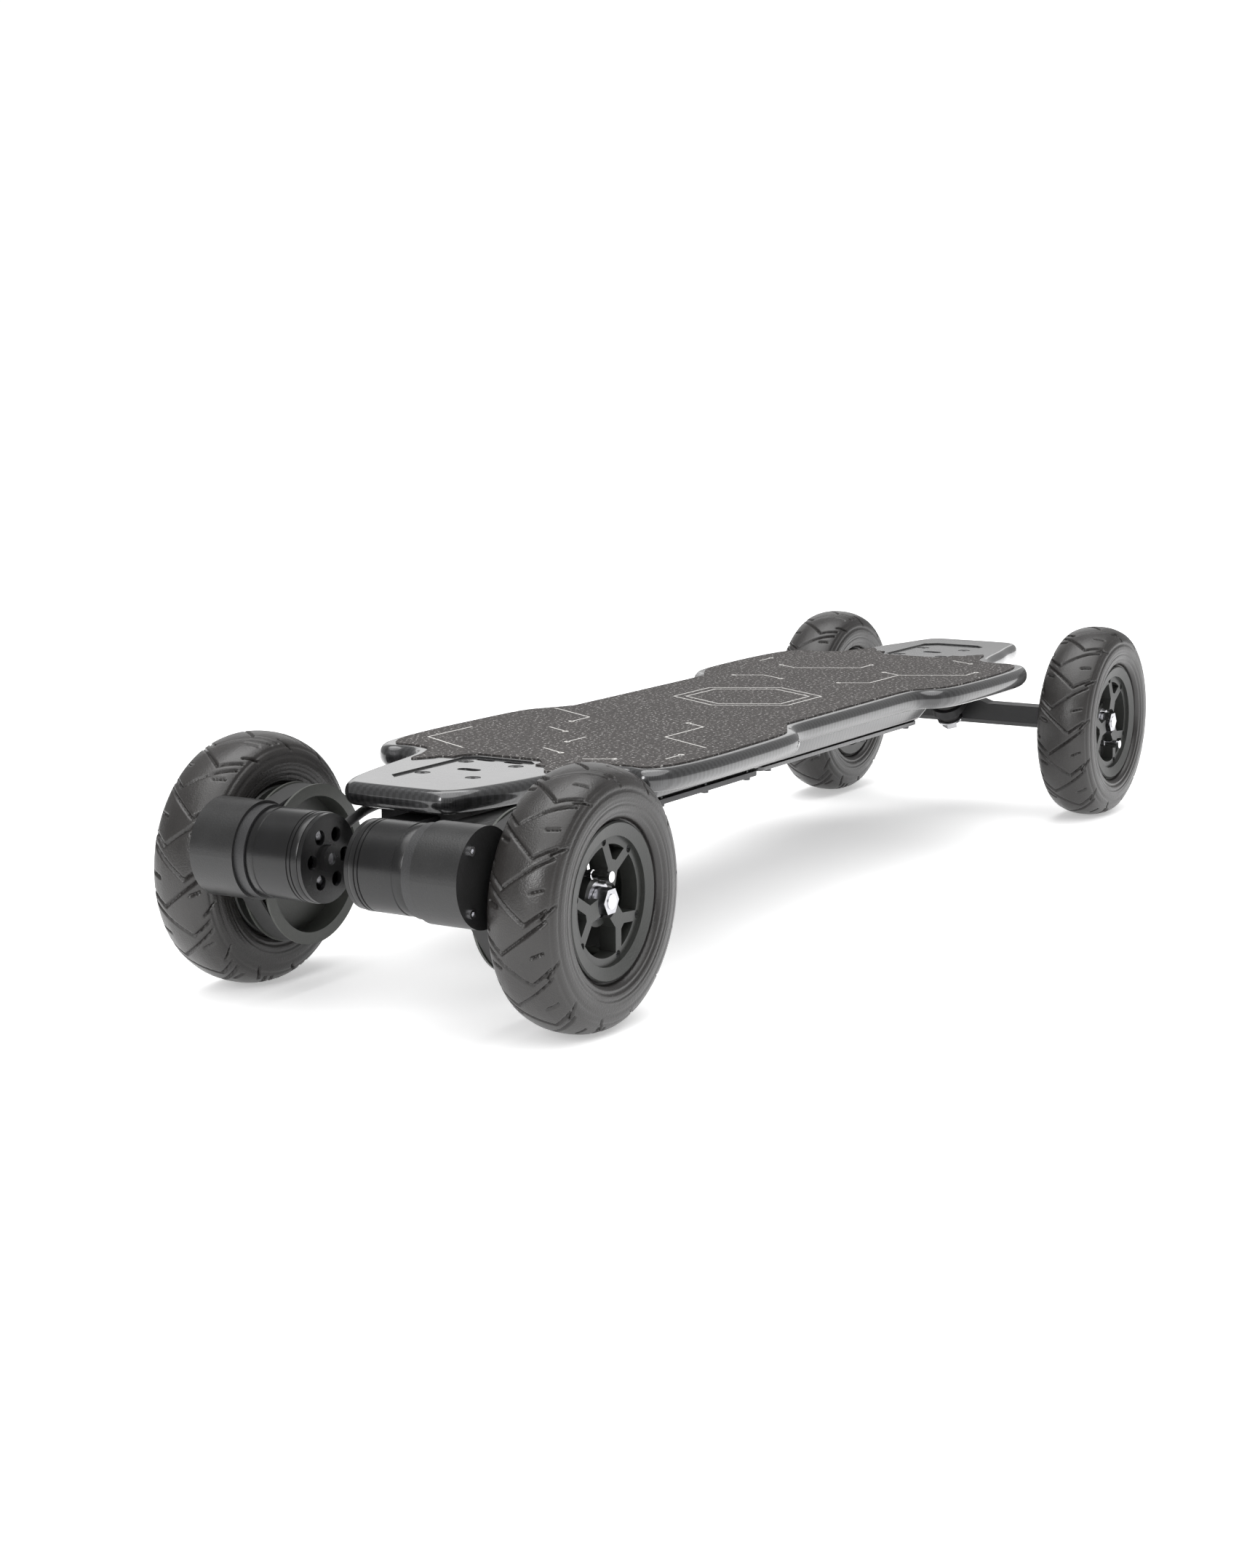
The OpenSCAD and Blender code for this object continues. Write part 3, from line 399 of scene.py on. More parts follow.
lacquered_carbon = grained(
    "lacquered_carbon", (0.02, 0.02, 0.021), (0.03, 0.03, 0.031),
    cloud_size=0.05, grain_size=0.02, roughness=0.36, spread=0.14, height=0.0002, metallic=0.75,
)
carbon_tree = lacquered_carbon.node_tree
carbon_shader = carbon_tree.nodes["Principled BSDF"]
carbon_shader.inputs["Coat Weight"].default_value = 1.0
carbon_shader.inputs["Coat Roughness"].default_value = 0.09
carbon_shader.inputs["Coat IOR"].default_value = 1.6
carbon_weave = carbon_tree.nodes.new("ShaderNodeGroup")
carbon_weave.node_tree = twill
carbon_tree.links.new(carbon_weave.outputs["Colour"], carbon_shader.inputs["Base Color"])

rim_depth = 6.0
rim_steps = 16
half_thickness = (deck_high - deck_low) / 2
rim_layers = []
for step in range(rim_steps + 1):
    lean = math.radians(-90 + 180 * step / rim_steps)
    rim_layers.append((rim_depth * (1 - math.cos(lean)), (deck_low + deck_high) / 2 + half_thickness * math.sin(lean)))
deck_points, deck_faces = layered_shell(deck_outline, rim_layers)
deck = make_piece("deck_moulding", deck_points, deck_faces, lacquered_carbon)

belly_low = deck_low - 13.5
belly_front = 0.42 * axle_x
belly_rear = 0.64 * axle_x
belly_corners = []
for height, half, front in ((belly_low, waist - 13, belly_front - 34), (deck_low + 3, waist - 10, belly_front)):
    belly_corners += [
        row(x, y, height) for x, y in ((-belly_rear, -half), (front, -half), (front, half), (-belly_rear, half))
    ]
belly = make_piece(
    "belly_blank",
    belly_corners,
    [(3, 2, 1, 0), (4, 5, 6, 7), (0, 1, 5, 4), (1, 2, 6, 5), (2, 3, 7, 6), (3, 0, 4, 7)],
    lacquered_carbon,
)
belly_edges = belly.modifiers.new("rounded_edges", "BEVEL")
belly_edges.width = 0.004
belly_edges.segments = 4
belly_edges.limit_method = "NONE"
bpy.context.view_layer.update()
belly.data = bpy.data.meshes.new_from_object(belly.evaluated_get(bpy.context.evaluated_depsgraph_get()))
belly.modifiers.clear()
carve(deck, belly, "UNION")



def cut_down(outline, low, high):
    carve(deck, make_prism("deck_tool", outline, low, high, lacquered_carbon), "DIFFERENCE")


lid_split = 0.285 * axle_x
bay_half = waist - 22
above = deck_high + 2
panel_depth = 1.2
slot_depth = 4
oval_depth = 2.4
counterbore_depth = 5
counterbore_radius = 5.5
for low_x, high_x in ((-lid_split + 8, belly_front - 42), (-belly_rear + 8, -lid_split - 8)):
    bay = [(low_x, -bay_half), (high_x, -bay_half), (high_x, bay_half), (low_x, bay_half)]
    cut_down(bay, belly_low - 2, deck_high - 6)
for end in (1, -1):
    panel = [
        (axle_x - 112, 22), (axle_x - 104, 30), (axle_x - 18, 30), (axle_x - 8, 20),
        (axle_x - 8, -20), (axle_x - 18, -30), (axle_x - 104, -30), (axle_x - 112, -22),
    ]
    cut_down([(end * x, y) for x, y in panel], deck_high - panel_depth, above)
    for slot_y in (-11.5, 11.5):
        cut_down(rounded_slot(end * (axle_x - 105), slot_y, 15, 5), deck_high - slot_depth, above)
    cut_down(rounded_slot(end * (axle_x - 67), 0, 18, 9), deck_high - oval_depth, above)
    for bolt_x in (axle_x - 94, axle_x - 41):
        for bolt_y in (20.6, -20.6):
            hole = circle_outline(end * bolt_x, bolt_y, counterbore_radius)
            cut_down(hole, deck_high - counterbore_depth, above)
plug_low, plug_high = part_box("socket_plug")
socket_height = plug_low.z * 1000 / 2 + plug_high.z * 1000 / 2
bore_sides = 40
for bore_y, bore_radius in ((30, 5.9), (-30, 5.0)):
    bore_points = []
    for x in (-belly_rear - 6, -belly_rear + 12):
        bore_ring = circle_outline(0, 0, bore_radius, bore_sides)
        bore_points += [row(x, bore_y + y, socket_height + z) for y, z in bore_ring]
    bore_faces = []
    for i in range(bore_sides):
        j = (i + 1) % bore_sides
        bore_faces.append((i, j, bore_sides + j, bore_sides + i))
    bore_faces += [tuple(reversed(range(bore_sides))), tuple(range(bore_sides, 2 * bore_sides))]
    bore = make_piece("bore_tool", bore_points, bore_faces, lacquered_carbon)
    face_outwards(bore)
    carve(deck, bore, "DIFFERENCE")
flatten_shading(deck, 28.0)
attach(deck, "deck")
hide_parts("deck_shell")


# ---- Grip sheet ----
# A black gritted sheet glued to the deck between the two truck panels. Silicon
# carbide grains stand in its surface, and thin pale hexagon lines are printed on it.
grip_paper = bpy.data.materials.new("gritted_sheet")
grip_paper.use_nodes = True
grip_tree = grip_paper.node_tree
grip_shader = grip_tree.nodes["Principled BSDF"]
grip_place = grip_tree.nodes.new("ShaderNodeTexCoord")
grit = grip_tree.nodes.new("ShaderNodeTexVoronoi")
grit.inputs["Scale"].default_value = 900.0
grip_tree.links.new(grip_place.outputs["Object"], grit.inputs["Vector"])
glint = grip_tree.nodes.new("ShaderNodeTexNoise")
glint.inputs["Scale"].default_value = 420.0
glint.inputs["Detail"].default_value = 4.0
grip_tree.links.new(grip_place.outputs["Object"], glint.inputs["Vector"])
glint_ramp = grip_tree.nodes.new("ShaderNodeValToRGB")
glint_ramp.color_ramp.elements[0].position = 0.42
glint_ramp.color_ramp.elements[0].color = (0.035, 0.031, 0.03, 1.0)
glint_ramp.color_ramp.elements[1].position = 0.68
glint_ramp.color_ramp.elements[1].color = (0.5, 0.49, 0.48, 1.0)
middle_tone = glint_ramp.color_ramp.elements.new(0.6)
middle_tone.color = (0.07, 0.063, 0.06, 1.0)
grip_tree.links.new(glint.outputs["Fac"], glint_ramp.inputs["Fac"])
scuffs = grip_tree.nodes.new("ShaderNodeTexNoise")
scuffs.inputs["Scale"].default_value = 14.0
scuffs.inputs["Detail"].default_value = 5.0
grip_tree.links.new(grip_place.outputs["Object"], scuffs.inputs["Vector"])
scuff_mix = grip_tree.nodes.new("ShaderNodeMix")
scuff_mix.data_type = "RGBA"
scuff_mix.blend_type = "MULTIPLY"
scuff_mix.inputs["Factor"].default_value = 0.35
grip_tree.links.new(glint_ramp.outputs["Color"], scuff_mix.inputs["A"])
grip_tree.links.new(scuffs.outputs["Fac"], scuff_mix.inputs["B"])
grip_tree.links.new(scuff_mix.outputs["Result"], grip_shader.inputs["Base Color"])
grip_shader.inputs["Roughness"].default_value = 0.82
grit_bump = grip_tree.nodes.new("ShaderNodeBump")
grit_bump.inputs["Distance"].default_value = 0.0006
grip_tree.links.new(grit.outputs["Distance"], grit_bump.inputs["Height"])
grip_tree.links.new(grit_bump.outputs["Normal"], grip_shader.inputs["Normal"])

grip_top = deck_high + 1.0
grip_half = [
    (axle_x - 98, 36), (axle_x - 90, 46), (axle_x - 78, 54), (axle_x - 82, 58),
    (axle_x - 100, 62), (axle_x - 122, 73), (wing_tip - 10, 90), (wing_tip - 9, 102),
    (wing_tip - 17, 110),
    (wing_tip - 36, wing - 12), (wing_tip - 72, wing - 9), (wing_tip - 120, wing - 9),
    (front_wing_end + 36, wing - 12), (front_wing_end + 10, 0.5 * (wing + waist) - 10),
    (front_wing_end - 8, waist - 7), (80, waist - 9),
    (-80, waist - 9), (-rear_wing_end + 8, waist - 7),
    (-rear_wing_end - 10, 0.5 * (wing + waist) - 10), (-rear_wing_end - 36, wing - 12),
    (-wing_tip + 120, wing - 9), (-wing_tip + 72, wing - 9), (-wing_tip + 36, wing - 12),
    (-wing_tip + 17, 110), (-wing_tip + 9, 102), (-wing_tip + 10, 90), (-axle_x + 122, 73),
    (-axle_x + 100, 62),
    (-axle_x + 82, 58), (-axle_x + 78, 54), (-axle_x + 90, 46), (-axle_x + 98, 36),
]
grip_outline = curve_round(mirrored_loop(grip_half), 5)
worn_edge = [(0.0, deck_high), (0.0, grip_top - 0.35), (0.12, grip_top - 0.12), (0.4, grip_top)]
sheet_points, sheet_faces = layered_shell(grip_outline, worn_edge)
grip = make_piece("grip_sheet", sheet_points, sheet_faces, grip_paper)
for end in (1, -1):
    opening = [
        (axle_x - 118, 25), (axle_x - 107, 34), (axle_x + 30, 34), (axle_x + 30, -34),
        (axle_x - 107, -34), (axle_x - 118, -25),
    ]
    opening = [(end * x, y) for x, y in opening]
    carve(grip, make_prism("opening_tool", opening, deck_high - 3, grip_top + 3, grip_paper), "DIFFERENCE")
flatten_shading(grip, 28.0)
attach(grip, "deck")
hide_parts("grip_tape")

printed_ink = grained(
    "pale_printed_ink", (0.5, 0.49, 0.47), (0.66, 0.65, 0.63),
    cloud_size=0.01, grain_size=0.0008, roughness=0.6, spread=0.15, height=0.0001,
)
cell_side = 58.0
mark_x = 20
mark_radii = (60.0, 50.0)
mark_clearing = 72
ink_height = grip_top + 0.05
ink_points = []
ink_edges = []
ink_dots = []


def inside_grip(x, y):
    count = len(grip_outline)
    crossings = 0
    for i in range(count):
        a, b = grip_outline[i], grip_outline[(i + 1) % count]
        if (a.y > y) != (b.y > y) and x < a.x + (y - a.y) / (b.y - a.y) * (b.x - a.x):
            crossings += 1
    return crossings % 2 == 1


def open_for_ink(x, y):
    near_panel = abs(x) > axle_x - 128 and abs(y) < 38
    near_mark = math.hypot(x - mark_x, y) < mark_clearing
    return inside_grip(x, y) and not near_panel and not near_mark


def add_ink_line(a, b, start, stop):
    # Only a line that stays on open sheet along its whole run is printed
    shares = [start + (stop - start) * k / 8 for k in range(9)]
    stretch = [(a[0] + (b[0] - a[0]) * t, a[1] + (b[1] - a[1]) * t) for t in shares]
    side_margin = 1.04
    if not all(open_for_ink(x, y * side_margin) for x, y in stretch):
        return
    first = len(ink_points)
    ink_points.append(row(*stretch[0], ink_height))
    ink_points.append(row(*stretch[-1], ink_height))
    ink_edges.append((first, first + 1))
    ink_dots.append(start > 0.01)
    ink_dots.append(stop < 0.99)


def hexagon_corner(x, y, radius, corner):
    turn = math.radians(60 * corner)
    return x + radius * math.cos(turn), y + radius * math.sin(turn)


# The hexagon net is broken up by a fixed pick of whole, part and missing sides
for column in range(-7, 8):
    for line in range(-2, 3):
        cell_x = column * 1.5 * cell_side
        cell_y = (line + 0.5 * (column % 2)) * math.sqrt(3) * cell_side
        for side in range(3):
            choice = (column * 7 + line * 13 + side * 5 + column * line * 3) % 11
            a = hexagon_corner(cell_x, cell_y, cell_side, side)
            b = hexagon_corner(cell_x, cell_y, cell_side, side + 1)
            if choice in (0, 3, 6) or (column > 3 and choice in (1, 8)):
                add_ink_line(a, b, 0.0, 1.0)
            elif choice in (2, 7):
                add_ink_line(a, b, 0.0, 0.45)
            elif choice in (4, 9):
                add_ink_line(a, b, 0.62, 1.0)
for radius in mark_radii:
    for side in range(6):
        first = len(ink_points)
        for corner in (side, side + 1):
            ink_points.append(row(*hexagon_corner(mark_x, 0.0, radius, corner), ink_height))
            ink_dots.append(False)
        ink_edges.append((first, first + 1))

ink_web = bpy.data.node_groups.new("printed_lines", "GeometryNodeTree")
ink_web.interface.new_socket("Geometry", in_out="INPUT", socket_type="NodeSocketGeometry")
line_width = ink_web.interface.new_socket("Line Width", in_out="INPUT", socket_type="NodeSocketFloat")
line_width.default_value = 0.0016
ink_depth = ink_web.interface.new_socket("Ink Depth", in_out="INPUT", socket_type="NodeSocketFloat")
ink_depth.default_value = 0.0001
dot_radius = ink_web.interface.new_socket("Dot Radius", in_out="INPUT", socket_type="NodeSocketFloat")
dot_radius.default_value = 0.0021
ink_web.interface.new_socket("Geometry", in_out="OUTPUT", socket_type="NodeSocketGeometry")
web_in = ink_web.nodes.new("NodeGroupInput")
web_out = ink_web.nodes.new("NodeGroupOutput")
as_curve = ink_web.nodes.new("GeometryNodeMeshToCurve")
upright = ink_web.nodes.new("GeometryNodeSetCurveNormal")
upright.mode = "Z_UP"
strip_profile = ink_web.nodes.new("GeometryNodeCurvePrimitiveQuadrilateral")
as_strip = ink_web.nodes.new("GeometryNodeCurveToMesh")
as_strip.inputs["Fill Caps"].default_value = True
dot_flag = ink_web.nodes.new("GeometryNodeInputNamedAttribute")
dot_flag.data_type = "BOOLEAN"
dot_flag.inputs["Name"].default_value = "dot"
dot_shape = ink_web.nodes.new("GeometryNodeMeshCylinder")
dot_shape.inputs["Vertices"].default_value = 14
scatter = ink_web.nodes.new("GeometryNodeInstanceOnPoints")
web_join = ink_web.nodes.new("GeometryNodeJoinGeometry")
web_real = ink_web.nodes.new("GeometryNodeRealizeInstances")
web_ink = ink_web.nodes.new("GeometryNodeSetMaterial")
web_ink.inputs["Material"].default_value = printed_ink
web = ink_web.links.new
web(web_in.outputs["Geometry"], as_curve.inputs["Mesh"])
web(as_curve.outputs["Curve"], upright.inputs["Curve"])
web(upright.outputs["Curve"], as_strip.inputs["Curve"])
web(web_in.outputs["Line Width"], strip_profile.inputs["Width"])
web(web_in.outputs["Ink Depth"], strip_profile.inputs["Height"])
web(strip_profile.outputs["Curve"], as_strip.inputs["Profile Curve"])
web(web_in.outputs["Geometry"], scatter.inputs["Points"])
web(dot_flag.outputs["Attribute"], scatter.inputs["Selection"])
web(web_in.outputs["Dot Radius"], dot_shape.inputs["Radius"])
web(web_in.outputs["Ink Depth"], dot_shape.inputs["Depth"])
web(dot_shape.outputs["Mesh"], scatter.inputs["Instance"])
web(as_strip.outputs["Mesh"], web_join.inputs["Geometry"])
web(scatter.outputs["Instances"], web_join.inputs["Geometry"])
web(web_join.outputs["Geometry"], web_real.inputs["Geometry"])
web(web_real.outputs["Geometry"], web_ink.inputs["Geometry"])
web(web_ink.outputs["Geometry"], web_out.inputs["Geometry"])

ink_mesh = bpy.data.meshes.new("printed_lines")
ink_mesh.from_pydata(ink_points, ink_edges, [])
ink_mesh.attributes.new("dot", "BOOLEAN", "POINT").data.foreach_set("value", ink_dots)
printed_lines = bpy.data.objects.new("printed_lines", ink_mesh)
scene.collection.objects.link(printed_lines)


def settle_nodes(piece, tree, values):
    # Runs a node tree once with these sizes and keeps its result as a plain mesh
    modifier = piece.modifiers.new("made", "NODES")
    modifier.node_group = tree
    for item in tree.interface.items_tree:
        if item.in_out == "INPUT" and item.name in values:
            modifier[item.identifier] = values[item.name]
    bpy.context.view_layer.update()
    made = bpy.data.meshes.new_from_object(piece.evaluated_get(bpy.context.evaluated_depsgraph_get()))
    piece.modifiers.clear()
    piece.data = made


settle_nodes(printed_lines, ink_web, {"Line Width": 0.0013, "Ink Depth": 0.0001, "Dot Radius": 0.0024})
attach(printed_lines, "deck")


# ---- Belly lids, seal and bay contents ----
# The battery and controller bays are closed from below by two flat lids on a rubber
# seal, held by small steel screws near their edges, with the corners rounded. Cells,
# board and controllers sit inside.
lid_carbon = grained(
    "battery_lid_carbon", (0.02, 0.02, 0.021), (0.03, 0.03, 0.032),
    cloud_size=0.04, grain_size=0.01, roughness=0.34, spread=0.12, height=0.0003,
)
lid_tree = lid_carbon.node_tree
lid_weave = lid_tree.nodes.new("ShaderNodeGroup")
lid_weave.node_tree = twill
lid_tree.links.new(lid_weave.outputs["Colour"], lid_tree.nodes["Principled BSDF"].inputs["Base Color"])
lid_tree.nodes["Principled BSDF"].inputs["Coat Weight"].default_value = 0.5
lid_tree.nodes["Principled BSDF"].inputs["Coat Roughness"].default_value = 0.2
cast_black = grained(
    "controller_lid_black", (0.028, 0.028, 0.03), (0.036, 0.036, 0.038),
    cloud_size=0.03, grain_size=0.0012, roughness=0.42, spread=0.16, height=0.0001, metallic=0.6,
)
finish_nodes(cast_black, "motor_controllers")


def rounded_plate(low_x, high_x, half, radius):
    loop = []
    for quarter in range(4):
        centre_x = high_x - radius if quarter in (0, 3) else low_x + radius
        centre_y = half - radius if quarter in (0, 1) else radius - half
        for degrees in range(90 * quarter, 90 * quarter + 91, 15):
            turn = math.radians(degrees)
            loop.append(Vector((centre_x + radius * math.cos(turn), centre_y + radius * math.sin(turn))))
    return loop


lid_half = waist - 13.7
for lid_name, lid_material in (("battery_lid", lid_carbon), ("controller_lid", cast_black)):
    lid_low, lid_high = (corner * 1000 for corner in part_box(lid_name))
    lid_outline = rounded_plate(lid_low.x - wheelbase_shift, lid_high.x - wheelbase_shift, lid_half, 5.0)
    lid_edge = [(0.7, lid_low.z), (0.2, lid_low.z + 0.2), (0.0, lid_low.z + 0.7), (0.0, lid_high.z)]
    lid_points, lid_faces = layered_shell(lid_outline, lid_edge)
    lid = make_piece(lid_name + "_moulded", lid_points, lid_faces, lid_material)
    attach(lid, "deck")
    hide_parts(lid_name)
seal_rubber = grained(
    "seal_rubber", (0.02, 0.02, 0.02), (0.03, 0.029, 0.028),
    cloud_size=0.02, grain_size=0.0007, roughness=0.72, spread=0.1, height=0.00008,
)
finish_nodes(seal_rubber, "lid_seal", "riser_pads", "pivot_cups", "socket_plug")
bright_steel = grained(
    "bright_steel", (0.72, 0.72, 0.74), (0.6, 0.6, 0.62),
    cloud_size=0.006, grain_size=0.0004, roughness=0.2, spread=0.18, height=0.00002, metallic=1.0,
)
finish_nodes(bright_steel, "kingpin_nuts", "axle_front", "axle_rear", "motor_screws", "power_button")
cell_wrap = grained(
    "cell_wrap", (0.55, 0.3, 0.06), (0.62, 0.36, 0.08),
    cloud_size=0.02, grain_size=0.0015, roughness=0.35, spread=0.1, height=0.00005,
)
finish_nodes(cell_wrap, "battery_cells")
board_green = grained(
    "board_lacquer", (0.02, 0.12, 0.05), (0.03, 0.16, 0.07),
    cloud_size=0.01, grain_size=0.001, roughness=0.3, spread=0.15, height=0.0001,
)
finish_nodes(board_green, "battery_board")
socket_plastic = grained(
    "socket_plastic", (0.018, 0.018, 0.018), (0.026, 0.026, 0.026),
    cloud_size=0.01, grain_size=0.0008, roughness=0.38, spread=0.1, height=0.00005,
)
finish_nodes(socket_plastic, "charge_socket")


# ---- Tyres ----
# Four seven-inch air tyres of satin black rubber. The moulded tread has long V cuts
# that point to either side in turn, with short slanted nicks between them.
tyre_rubber = grained(
    "tyre_rubber", (0.014, 0.013, 0.0125), (0.026, 0.024, 0.023),
    cloud_size=0.018, grain_size=0.0011, roughness=0.32, spread=0.2, height=0.0002,
)
wheel_y = 134.0
tread_pitches = 13
cells_per_pitch = 50
section_knots = [
    (46.0, -19.0), (53.2, -19.0), (54.4, -22.0), (56.6, -24.2), (61.0, -25.4), (67.0, -26.0), (76.5, -24.4),
    (82.5, -20.0), (85.9, -12.5), (87.2, -6.0), (87.5, 0.0), (87.2, 6.0), (85.9, 12.5), (82.5, 20.0),
    (76.5, 24.4), (67.0, 26.0), (61.0, 25.4), (56.6, 24.2), (54.4, 22.0), (53.2, 19.0), (46.0, 19.0),
]
knot_steps = [2, 3, 3, 6, 8, 9, 9, 9, 7, 7, 7, 7, 9, 9, 9, 8, 6, 3, 3, 2]
section = []
for i, steps in enumerate(knot_steps):
    a, b, c, d = (np.array(section_knots[min(max(i + k, 0), len(section_knots) - 1)]) for k in (-1, 0, 1, 2))
    straight = i in (0, len(knot_steps) - 1)
    for s in range(steps):
        section.append(b + (c - b) * (s / steps) if straight else spline_point(a, b, c, d, s / steps))
section.append(np.array(section_knots[-1]))
section = np.array(section)
tangent = np.gradient(section, axis=0)
tangent /= np.linalg.norm(tangent, axis=1)[:, None]
outward = np.stack([tangent[:, 1], -tangent[:, 0]], axis=1)
across = np.concatenate([[0.0], np.cumsum(np.linalg.norm(np.diff(section, axis=0), axis=1))])
across -= across[len(across) // 2]


def groove(distance, half_width, soft=0.9):
    return np.clip((half_width + soft - np.abs(distance)) / soft, 0.0, 1.0)


tread_count = tread_pitches * cells_per_pitch
pitch = 2 * math.pi * tyre_radius / tread_pitches
around = np.arange(tread_count) * (2 * math.pi * tyre_radius / tread_count)
run, cross = np.meshgrid(around, across, indexing="ij")
reach = np.abs(cross)
cut = np.zeros_like(run)
for start, vertex in ((0.0, 9.0), (0.5, -9.0)):
    bend = (run - start * pitch - 0.75 * np.abs(cross - vertex)) % pitch
    cut = np.maximum(cut, groove(np.minimum(bend, pitch - bend), 0.75) * np.clip(24.0 - reach, 0, 1))
for start, low_edge, high_edge, lean in ((0.27, 11.0, 21.0, 0.35), (0.77, 19.0, 30.0, 0.95)):
    for hand in (1, -1):
        nick = (run - (start + 0.25 * (hand > 0)) * pitch - lean * (reach - 16.0)) % pitch
        nick = groove(np.minimum(nick, pitch - nick), 0.55)
        kept = (cross * hand > 0) * np.clip(reach - low_edge, 0, 1) * np.clip(high_edge - reach, 0, 1)
        cut = np.maximum(cut, nick * kept)
tread_depth = 1.7
sunk = tread_depth * cut
for ring_radius, ring_width, ring_depth in (
    (58.6, 0.6, 0.5), (63.5, 0.5, 0.45), (66.0, 0.4, 0.35), (72.5, 0.5, 0.5), (78.6, 0.5, 0.45),
):
    ridge = groove(section[:, 0] - ring_radius, ring_width, 0.7) * (np.abs(section[:, 1]) > 21)
    sunk = sunk + ring_depth * ridge[None, :]
tread_radius = section[None, :, 0] - sunk * outward[None, :, 0]
tread_side = section[None, :, 1] - sunk * outward[None, :, 1]
turned = (around / tyre_radius)[:, None]
rows_across = section.shape[0]
tyre_faces = []
for i in range(tread_count):
    j = (i + 1) % tread_count
    for k in range(rows_across):
        m = (k + 1) % rows_across
        tyre_faces.append((i * rows_across + k, j * rows_across + k, j * rows_across + m, i * rows_across + m))


def wheel_frame(end, side):
    place = row(end * axle_x, side * wheel_y, tyre_radius)
    return Matrix.Translation(place) @ Matrix.Rotation(math.radians(-90.0 * side), 4, "X")


wheels = {"front_left": (1, 1), "front_right": (1, -1), "rear_left": (-1, 1), "rear_right": (-1, -1)}
for corner, (end, side) in wheels.items():
    tyre_axes = [tread_radius * np.cos(turned) * side, tread_radius * np.sin(turned), tread_side * np.ones_like(turned)]
    tyre_points = np.stack(tyre_axes, axis=2).reshape(-1, 3) / 1000
    tyre = make_piece("tyre_" + corner + "_moulding", tyre_points, tyre_faces, tyre_rubber, 50.0)
    tyre.data.transform(wheel_frame(end, side))
    face_outwards(tyre)
    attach(tyre, "wheel_" + corner)
    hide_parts("tyre_" + corner)


# ---- Hubs, bearings, valves and axle nuts ----
# Each hub is moulded in satin glass-filled nylon with three forked spokes. Bearings,
# chromed valve stems and the plated axle nuts are bought-in steel parts.
hub_nylon = grained(
    "hub_nylon", (0.02, 0.0212, 0.0195), (0.03, 0.0315, 0.029),
    cloud_size=0.02, grain_size=0.0013, roughness=0.4, spread=0.14, height=0.00012,
)
chrome = grained(
    "plated_chrome", (0.82, 0.82, 0.83), (0.7, 0.7, 0.72),
    cloud_size=0.01, grain_size=0.0008, roughness=0.1, spread=0.1, height=0.00001, metallic=1.0,
)
race_steel = grained(
    "race_steel", (0.5, 0.5, 0.52), (0.38, 0.38, 0.4),
    cloud_size=0.004, grain_size=0.0004, roughness=0.24, spread=0.16, height=0.00002, metallic=1.0,
)
for corner in wheels:
    finish_nodes(hub_nylon, "hub_" + corner)
    finish_nodes(chrome, "valve_" + corner)
    finish_nodes(race_steel, "hub_bolts_" + corner, "bearings_" + corner)
finish_nodes(race_steel, "axle_hardware_front", "axle_hardware_rear")


# ---- Trucks ----
# Cast aluminium baseplates and hangers in satin black powder coat. Each hanger leans
# on two pressed rubber bushings round its kingpin.
powder_coat = grained(
    "black_powder_coat", (0.014, 0.014, 0.015), (0.022, 0.022, 0.023),
    cloud_size=0.04, grain_size=0.0009, roughness=0.46, spread=0.14, height=0.00016,
)
finish_nodes(powder_coat, "baseplate_front", "baseplate_rear", "hanger_front", "hanger_rear", "motor_mounts")
black_steel = grained(
    "blackened_steel", (0.06, 0.06, 0.062), (0.09, 0.09, 0.092),
    cloud_size=0.005, grain_size=0.0005, roughness=0.32, spread=0.15, height=0.00003, metallic=1.0,
)
finish_nodes(black_steel, "truck_bolts", "kingpins", "lid_screws")
bushing_rubber = grained(
    "bushing_urethane", (0.03, 0.03, 0.03), (0.045, 0.044, 0.043),
    cloud_size=0.012, grain_size=0.0008, roughness=0.5, spread=0.12, height=0.00008,
)


def turned_ring(profile, steps):
    # A closed (radius, height) outline turned once round the local Z axis
    count = len(profile)
    points = []
    faces = []
    for i in range(steps):
        turn = 2 * math.pi * i / steps
        points += [Vector((r * math.cos(turn), r * math.sin(turn), h)) / 1000 for r, h in profile]
        j = (i + 1) % steps
        for k in range(count):
            m = (k + 1) % count
            faces.append((i * count + k, j * count + k, j * count + m, i * count + m))
    return points, faces


def join_rings(name, rings, material, smooth_angle=32.0):
    points = []
    faces = []
    for (ring_points, ring_faces), place in rings:
        first = len(points)
        points += [place @ p for p in ring_points]
        faces += [tuple(first + v for v in face) for face in ring_faces]
    piece = make_piece(name, points, faces, material, smooth_angle)
    face_outwards(piece)
    return piece


upper_bushing = [
    (5.1, 3.6), (10.6, 3.6), (11.7, 4.3), (12.0, 5.3), (11.6, 8.5),
    (12.0, 11.6), (11.6, 12.9), (10.8, 13.5), (5.1, 13.5),
]
lower_bushing = [
    (5.1, -11.5), (8.6, -11.5), (9.4, -10.9), (10.1, -8.0), (11.0, -5.0), (10.8, -4.1), (10.0, -3.6), (5.1, -3.6),
]
steer_slope = 28.0
pivot_back = 28.5
pivot_height = 94.0
for end, name in ((1, "front"), (-1, "rear")):
    pivot = Matrix.Translation(row(end * (axle_x - pivot_back), 0, pivot_height))
    lean_frame = pivot @ Matrix.Rotation(math.radians(-steer_slope * end), 4, "Y")
    bushings = join_rings(
        "bushings_" + name + "_pressed",
        [(turned_ring(upper_bushing, 48), lean_frame), (turned_ring(lower_bushing, 48), lean_frame)],
        bushing_rubber,
    )
    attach(bushings, "deck")
    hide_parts("bushings_" + name)


